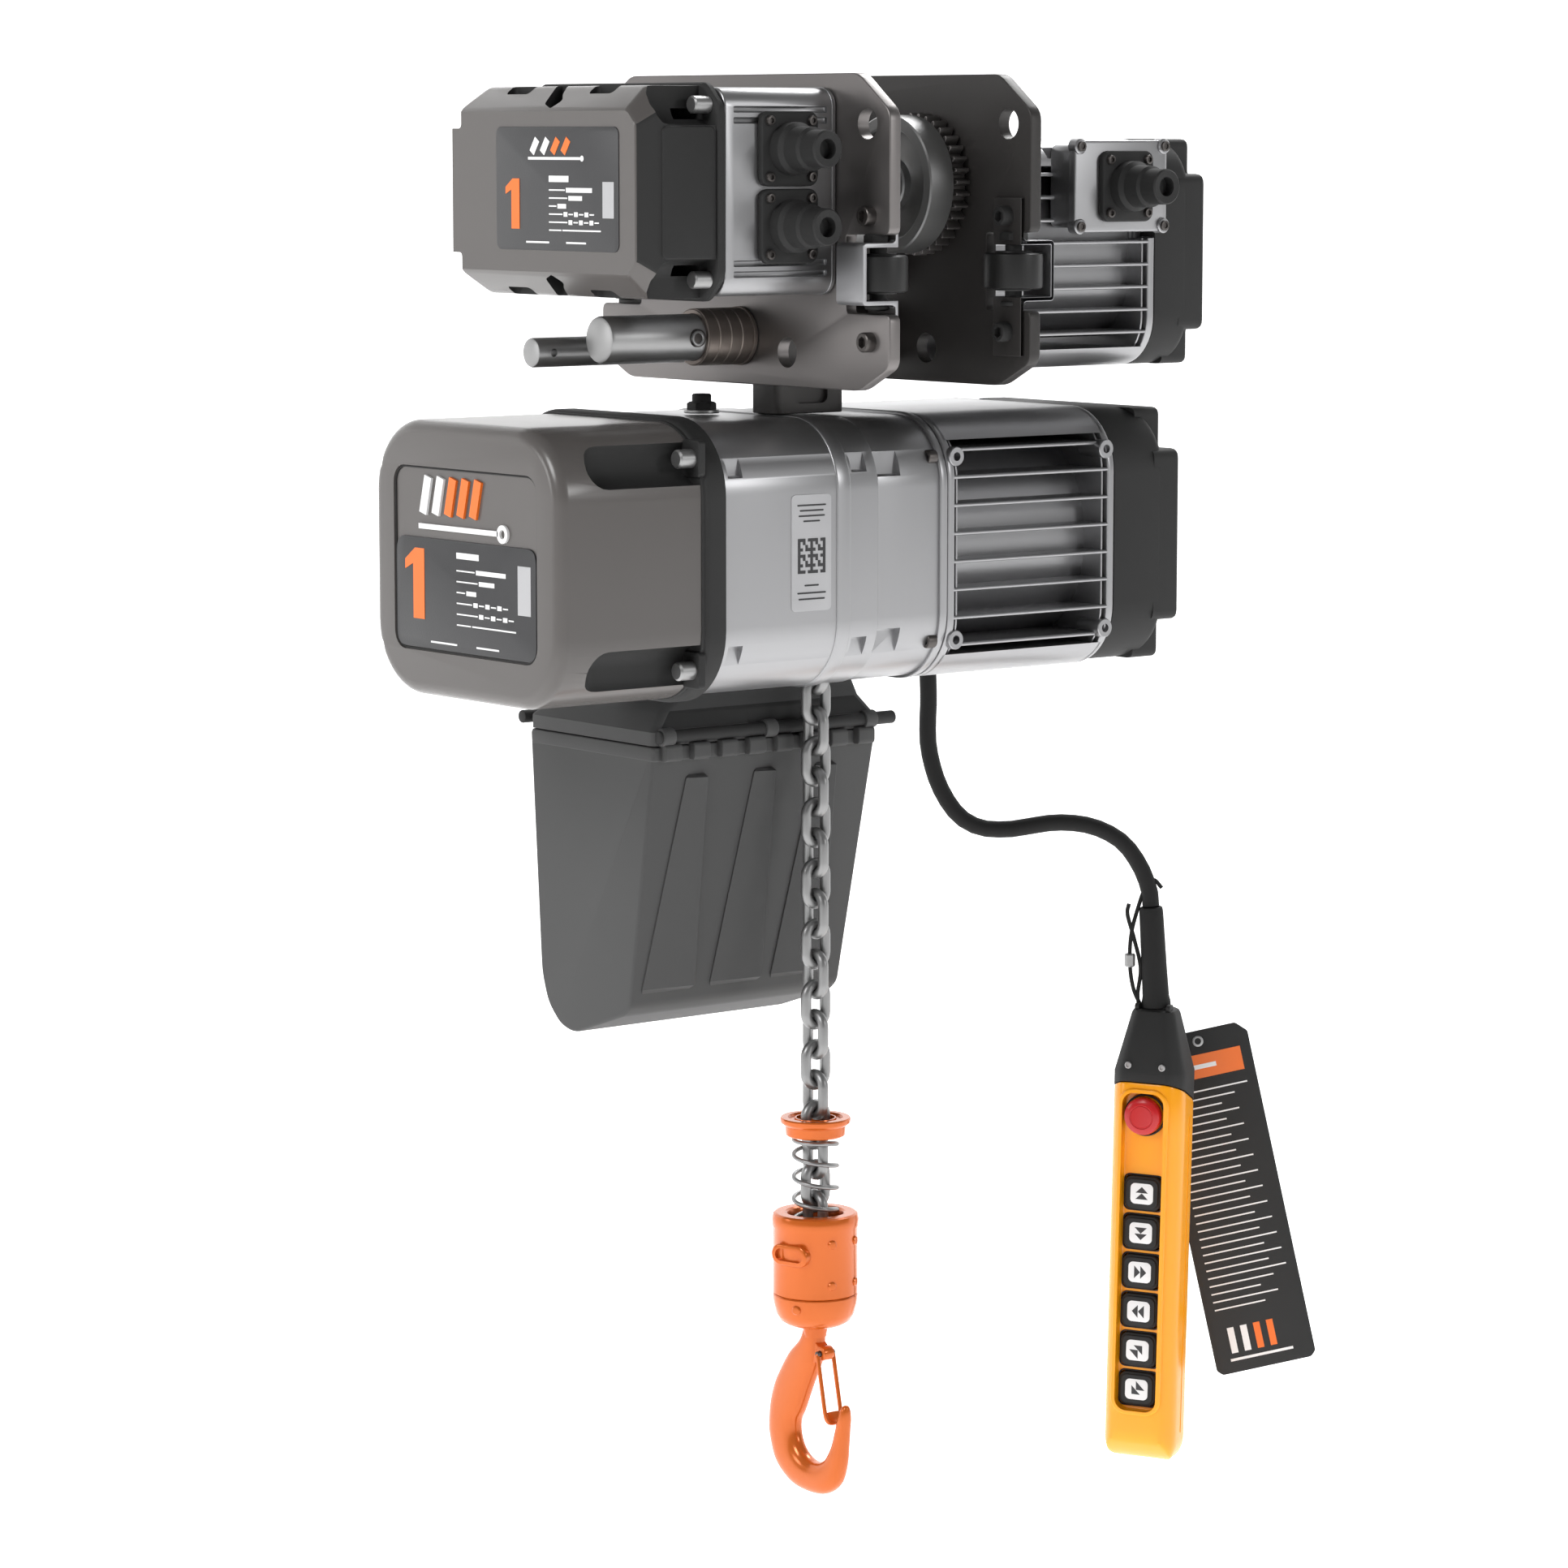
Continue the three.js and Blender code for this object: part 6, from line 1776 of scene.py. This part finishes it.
def build_sleeve():
    """Tapered strain relief, the thin strain wire beside it and its clamp."""
    profile = [
        (0, 1.3), (10.8, 1.3), (10.8, 5), (9.9, 9), (9.4, 30), (8.9, 72), (8.4, 75.4), (7.4, 76), (6.4, 76),
        (6.4, 70), (0, 70)
    ]
    piece(
        "cable_sleeve", [(in_frame(turned("z", profile, (0, 0), 48), PENDANT, -38, -3.6), "cable_rubber")],
        stands_for="pendant_sleeve"
    )
    left = np.array([-0.788, 0.616, 0])
    up = np.array([0, 0, 1.0])
    at = [(10, -1), (17, 14), (20, 34), (19, 56), (14, 76), (9, 90), (3, 96), (-3, 90)]
    path = smooth_path(np.array([PENDANT + left * a + up * b for a, b in at]), 60)
    other = smooth_path(
        np.array(
            [
                PENDANT + left * a + up * b
                for a, b in [(12, -1), (14, 10), (12, 30), (17, 52), (22, 70), (21, 78)]
            ]
        ),
        40
    )
    clamp = shifted(
        turned("z", [(0, -5), (3.2, -5), (4, -4), (4, 4), (3.2, 5), (0, 5)], (0, 0), 24),
        offset=PENDANT + left * 20 + up * 36
    )
    piece(
        "strain_wire",
        [(combine(pipe(path, 1.5, 10), pipe(other, 1.5, 10)), "cable_rubber"), (clamp, "ground_steel")]
    )


def build_card():
    """Instruction card: a thin outline with cut corners, an orange band, thin white bars and plain marks on
    its face.
    """
    outline = softened(
        [(-38, -10), (-28, 2), (30, 2), (38, -6), (38, -257), (34, -261), (-34, -261), (-38, -257)], 1.5, 3
    )

    def block(x0, x1, z0, z1, depth=0.12):
        return bar("y", np.array([(x0, z0), (x1, z0), (x1, z1), (x0, z1)]), -depth, 0.3, 0)

    orange = [block(-30, 30, -34, -16)] + [block(x, x + 5, -246, -226) for x in (-4, 6)]
    white = [block(-24, 10, -27, -23.6, 0.2)]
    for i in range(28):
        white.append(block(-30, 30 - (i * 11) % 23, -44 - 6.2 * i, -42.9 - 6.2 * i))
    white += [block(x, x + 5, -246, -226) for x in (-24, -14)] + [block(-26, 22, -252, -250)]
    eye = ring("y", 4.2, 2.4, -0.3, 1.5, (0, -6), 0.2, 32)
    place = lambda shape: in_frame(shape, (415, 65, -589), -38, -12.5)
    parts = [
        (place(bar("y", outline, 0, 1.2, 0.2)), "card_plastic"), (place(combine(*orange)), "print_orange"),
        (place(combine(*white)), "print_white"), (place(eye), "ground_steel")
    ]
    piece("card", parts, stands_for="tag_card")


INNER = {
    "load_sheave": "dark_steel", "reduction_gear": "ground_steel", "motor_rotor": "bronzed_steel",
    "trolley_pinion": "dark_steel"
}


INNER_BEVEL = 0.0002


def finish_nodes():
    """Every CAD node takes the material called after its slot, and those in INNER also get a fine bevel."""
    slots = {
        node["name"]: node.get("material") for node in frame["record"].get("nodes", [])
        if isinstance(node, dict) and "name" in node
    }
    for name, obj in frame["nodes"].items():
        wanted = INNER.get(name) or slots.get(name)
        if wanted not in FINISHES:
            wanted = "dark_steel"
        obj.data.materials.clear()
        obj.data.materials.append(bpy.data.materials[wanted])
        if name in INNER:
            edge = obj.modifiers.new("rounded edges", "BEVEL")
            bevel_edges(edge, INNER_BEVEL, 40)


# Operators and panel.


class HOIST_OT_finishes(bpy.types.Operator):
    """Makes the shader groups and the procedural materials, and paints the CAD nodes"""

    bl_idname = "hoist.finishes"
    bl_label = "Materials"

    def execute(self, context):
        build_groups()
        for name, values in FINISHES.items():
            finish(name, **values)
        finish_nodes()
        return {"FINISHED"}


class HOIST_OT_stage(bpy.types.Operator):
    """Sets up the floor, the lights and the camera"""

    bl_idname = "hoist.stage"
    bl_label = "Stage"

    def execute(self, context):
        build_stage(context.scene.hoist_stage)
        return {"FINISHED"}


class HOIST_OT_cable(bpy.types.Operator):
    """Lays the control cable with its coil and strap"""

    bl_idname = "hoist.cable"
    bl_label = "Control cable"

    def execute(self, context):
        build_cable(context.scene.hoist_cable)
        return {"FINISHED"}


class HOIST_OT_plates(bpy.types.Operator):
    """Builds the trolley's side plates"""

    bl_idname = "hoist.plates"
    bl_label = "Side plates"

    def execute(self, context):
        build_plates()
        return {"FINISHED"}


class HOIST_OT_wheels(bpy.types.Operator):
    """Builds the trolley's wheels"""

    bl_idname = "hoist.wheels"
    bl_label = "Wheels"

    def execute(self, context):
        build_wheels(context.scene.hoist_sizes)
        return {"FINISHED"}


class HOIST_OT_rollers(bpy.types.Operator):
    """Builds the guide rollers and their brackets"""

    bl_idname = "hoist.rollers"
    bl_label = "Guide rollers"

    def execute(self, context):
        build_rollers()
        return {"FINISHED"}


class HOIST_OT_shafts(bpy.types.Operator):
    """Builds the shafts and their spacers"""

    bl_idname = "hoist.shafts"
    bl_label = "Shafts"

    def execute(self, context):
        build_shafts()
        return {"FINISHED"}


class HOIST_OT_trolley_box(bpy.types.Operator):
    """Builds the trolley's control box"""

    bl_idname = "hoist.trolley_box"
    bl_label = "Control box"

    def execute(self, context):
        build_trolley_box()
        return {"FINISHED"}


class HOIST_OT_trolley_motor(bpy.types.Operator):
    """Builds the trolley motor and its terminal box"""

    bl_idname = "hoist.trolley_motor"
    bl_label = "Trolley motor"

    def execute(self, context):
        build_trolley_motor(context.scene.hoist_sizes)
        return {"FINISHED"}


class HOIST_OT_cover(bpy.types.Operator):
    """Builds the hoist's control cover with its label"""

    bl_idname = "hoist.cover"
    bl_label = "Hoist cover"

    def execute(self, context):
        build_hoist_cover()
        return {"FINISHED"}


class HOIST_OT_body(bpy.types.Operator):
    """Builds the gear housing, the end shield, the plug and the lug"""

    bl_idname = "hoist.body"
    bl_label = "Hoist body"

    def execute(self, context):
        build_hoist_body()
        return {"FINISHED"}


class HOIST_OT_motor(bpy.types.Operator):
    """Builds the hoist motor and its fan cover"""

    bl_idname = "hoist.motor"
    bl_label = "Hoist motor"

    def execute(self, context):
        build_hoist_motor(context.scene.hoist_sizes)
        return {"FINISHED"}


class HOIST_OT_bucket(bpy.types.Operator):
    """Builds the chain bucket and its bracket"""

    bl_idname = "hoist.bucket"
    bl_label = "Chain bucket"

    def execute(self, context):
        build_bucket()
        return {"FINISHED"}


class HOIST_OT_chain(bpy.types.Operator):
    """Builds the load chain, the bump ring and the spring"""

    bl_idname = "hoist.chain"
    bl_label = "Chain"

    def execute(self, context):
        build_chain(context.scene.hoist_sizes)
        build_stop_spring()
        return {"FINISHED"}


class HOIST_OT_hook(bpy.types.Operator):
    """Builds the hook block, the hook and the latch"""

    bl_idname = "hoist.hook"
    bl_label = "Hook"

    def execute(self, context):
        build_block()
        build_hook()
        return {"FINISHED"}


class HOIST_OT_pendant(bpy.types.Operator):
    """Builds the pendant with its stop button and push buttons"""

    bl_idname = "hoist.pendant"
    bl_label = "Pendant"

    def execute(self, context):
        build_pendant()
        build_buttons()
        return {"FINISHED"}


class HOIST_OT_fittings(bpy.types.Operator):
    """Builds the cable's elbow, its sleeve, the strain wire and the card"""

    bl_idname = "hoist.fittings"
    bl_label = "Cable fittings"

    def execute(self, context):
        build_gland()
        build_sleeve()
        build_card()
        return {"FINISHED"}


OPERATORS = [
    HOIST_OT_finishes, HOIST_OT_stage, HOIST_OT_cable, HOIST_OT_plates, HOIST_OT_wheels,
    HOIST_OT_rollers, HOIST_OT_shafts, HOIST_OT_trolley_box, HOIST_OT_trolley_motor, HOIST_OT_cover,
    HOIST_OT_body, HOIST_OT_motor, HOIST_OT_bucket, HOIST_OT_chain, HOIST_OT_hook, HOIST_OT_pendant,
    HOIST_OT_fittings,
]


class HOIST_PT_panel(bpy.types.Panel):
    """Buttons for the pieces and fields for their sizes"""

    bl_label = "Chain hoist"
    bl_idname = "HOIST_PT_panel"
    bl_space_type = "VIEW_3D"
    bl_region_type = "UI"
    bl_category = "Hoist"

    def draw(self, context):
        for settings in (context.scene.hoist_sizes, context.scene.hoist_cable, context.scene.hoist_stage):
            for key in settings.__annotations__:
                self.layout.prop(settings, key)
        for operator in OPERATORS:
            self.layout.operator(operator.bl_idname)


CLASSES = [HoistSizes, CableSizes, StageSettings, *OPERATORS, HOIST_PT_panel]


def register():
    for cls in CLASSES:
        bpy.utils.register_class(cls)
    bpy.types.Scene.hoist_sizes = bpy.props.PointerProperty(type=HoistSizes)
    bpy.types.Scene.hoist_cable = bpy.props.PointerProperty(type=CableSizes)
    bpy.types.Scene.hoist_stage = bpy.props.PointerProperty(type=StageSettings)


def unregister():
    del bpy.types.Scene.hoist_sizes, bpy.types.Scene.hoist_cable, bpy.types.Scene.hoist_stage
    for cls in reversed(CLASSES):
        bpy.utils.unregister_class(cls)


def main():
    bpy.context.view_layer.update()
    register()
    for operator in OPERATORS:
        category, name = operator.bl_idname.split(".")
        if getattr(getattr(bpy.ops, category), name)() != {"FINISHED"}:
            raise RuntimeError(f"{operator.bl_label} didn't finish")


if __name__ == "__main__":
    main()
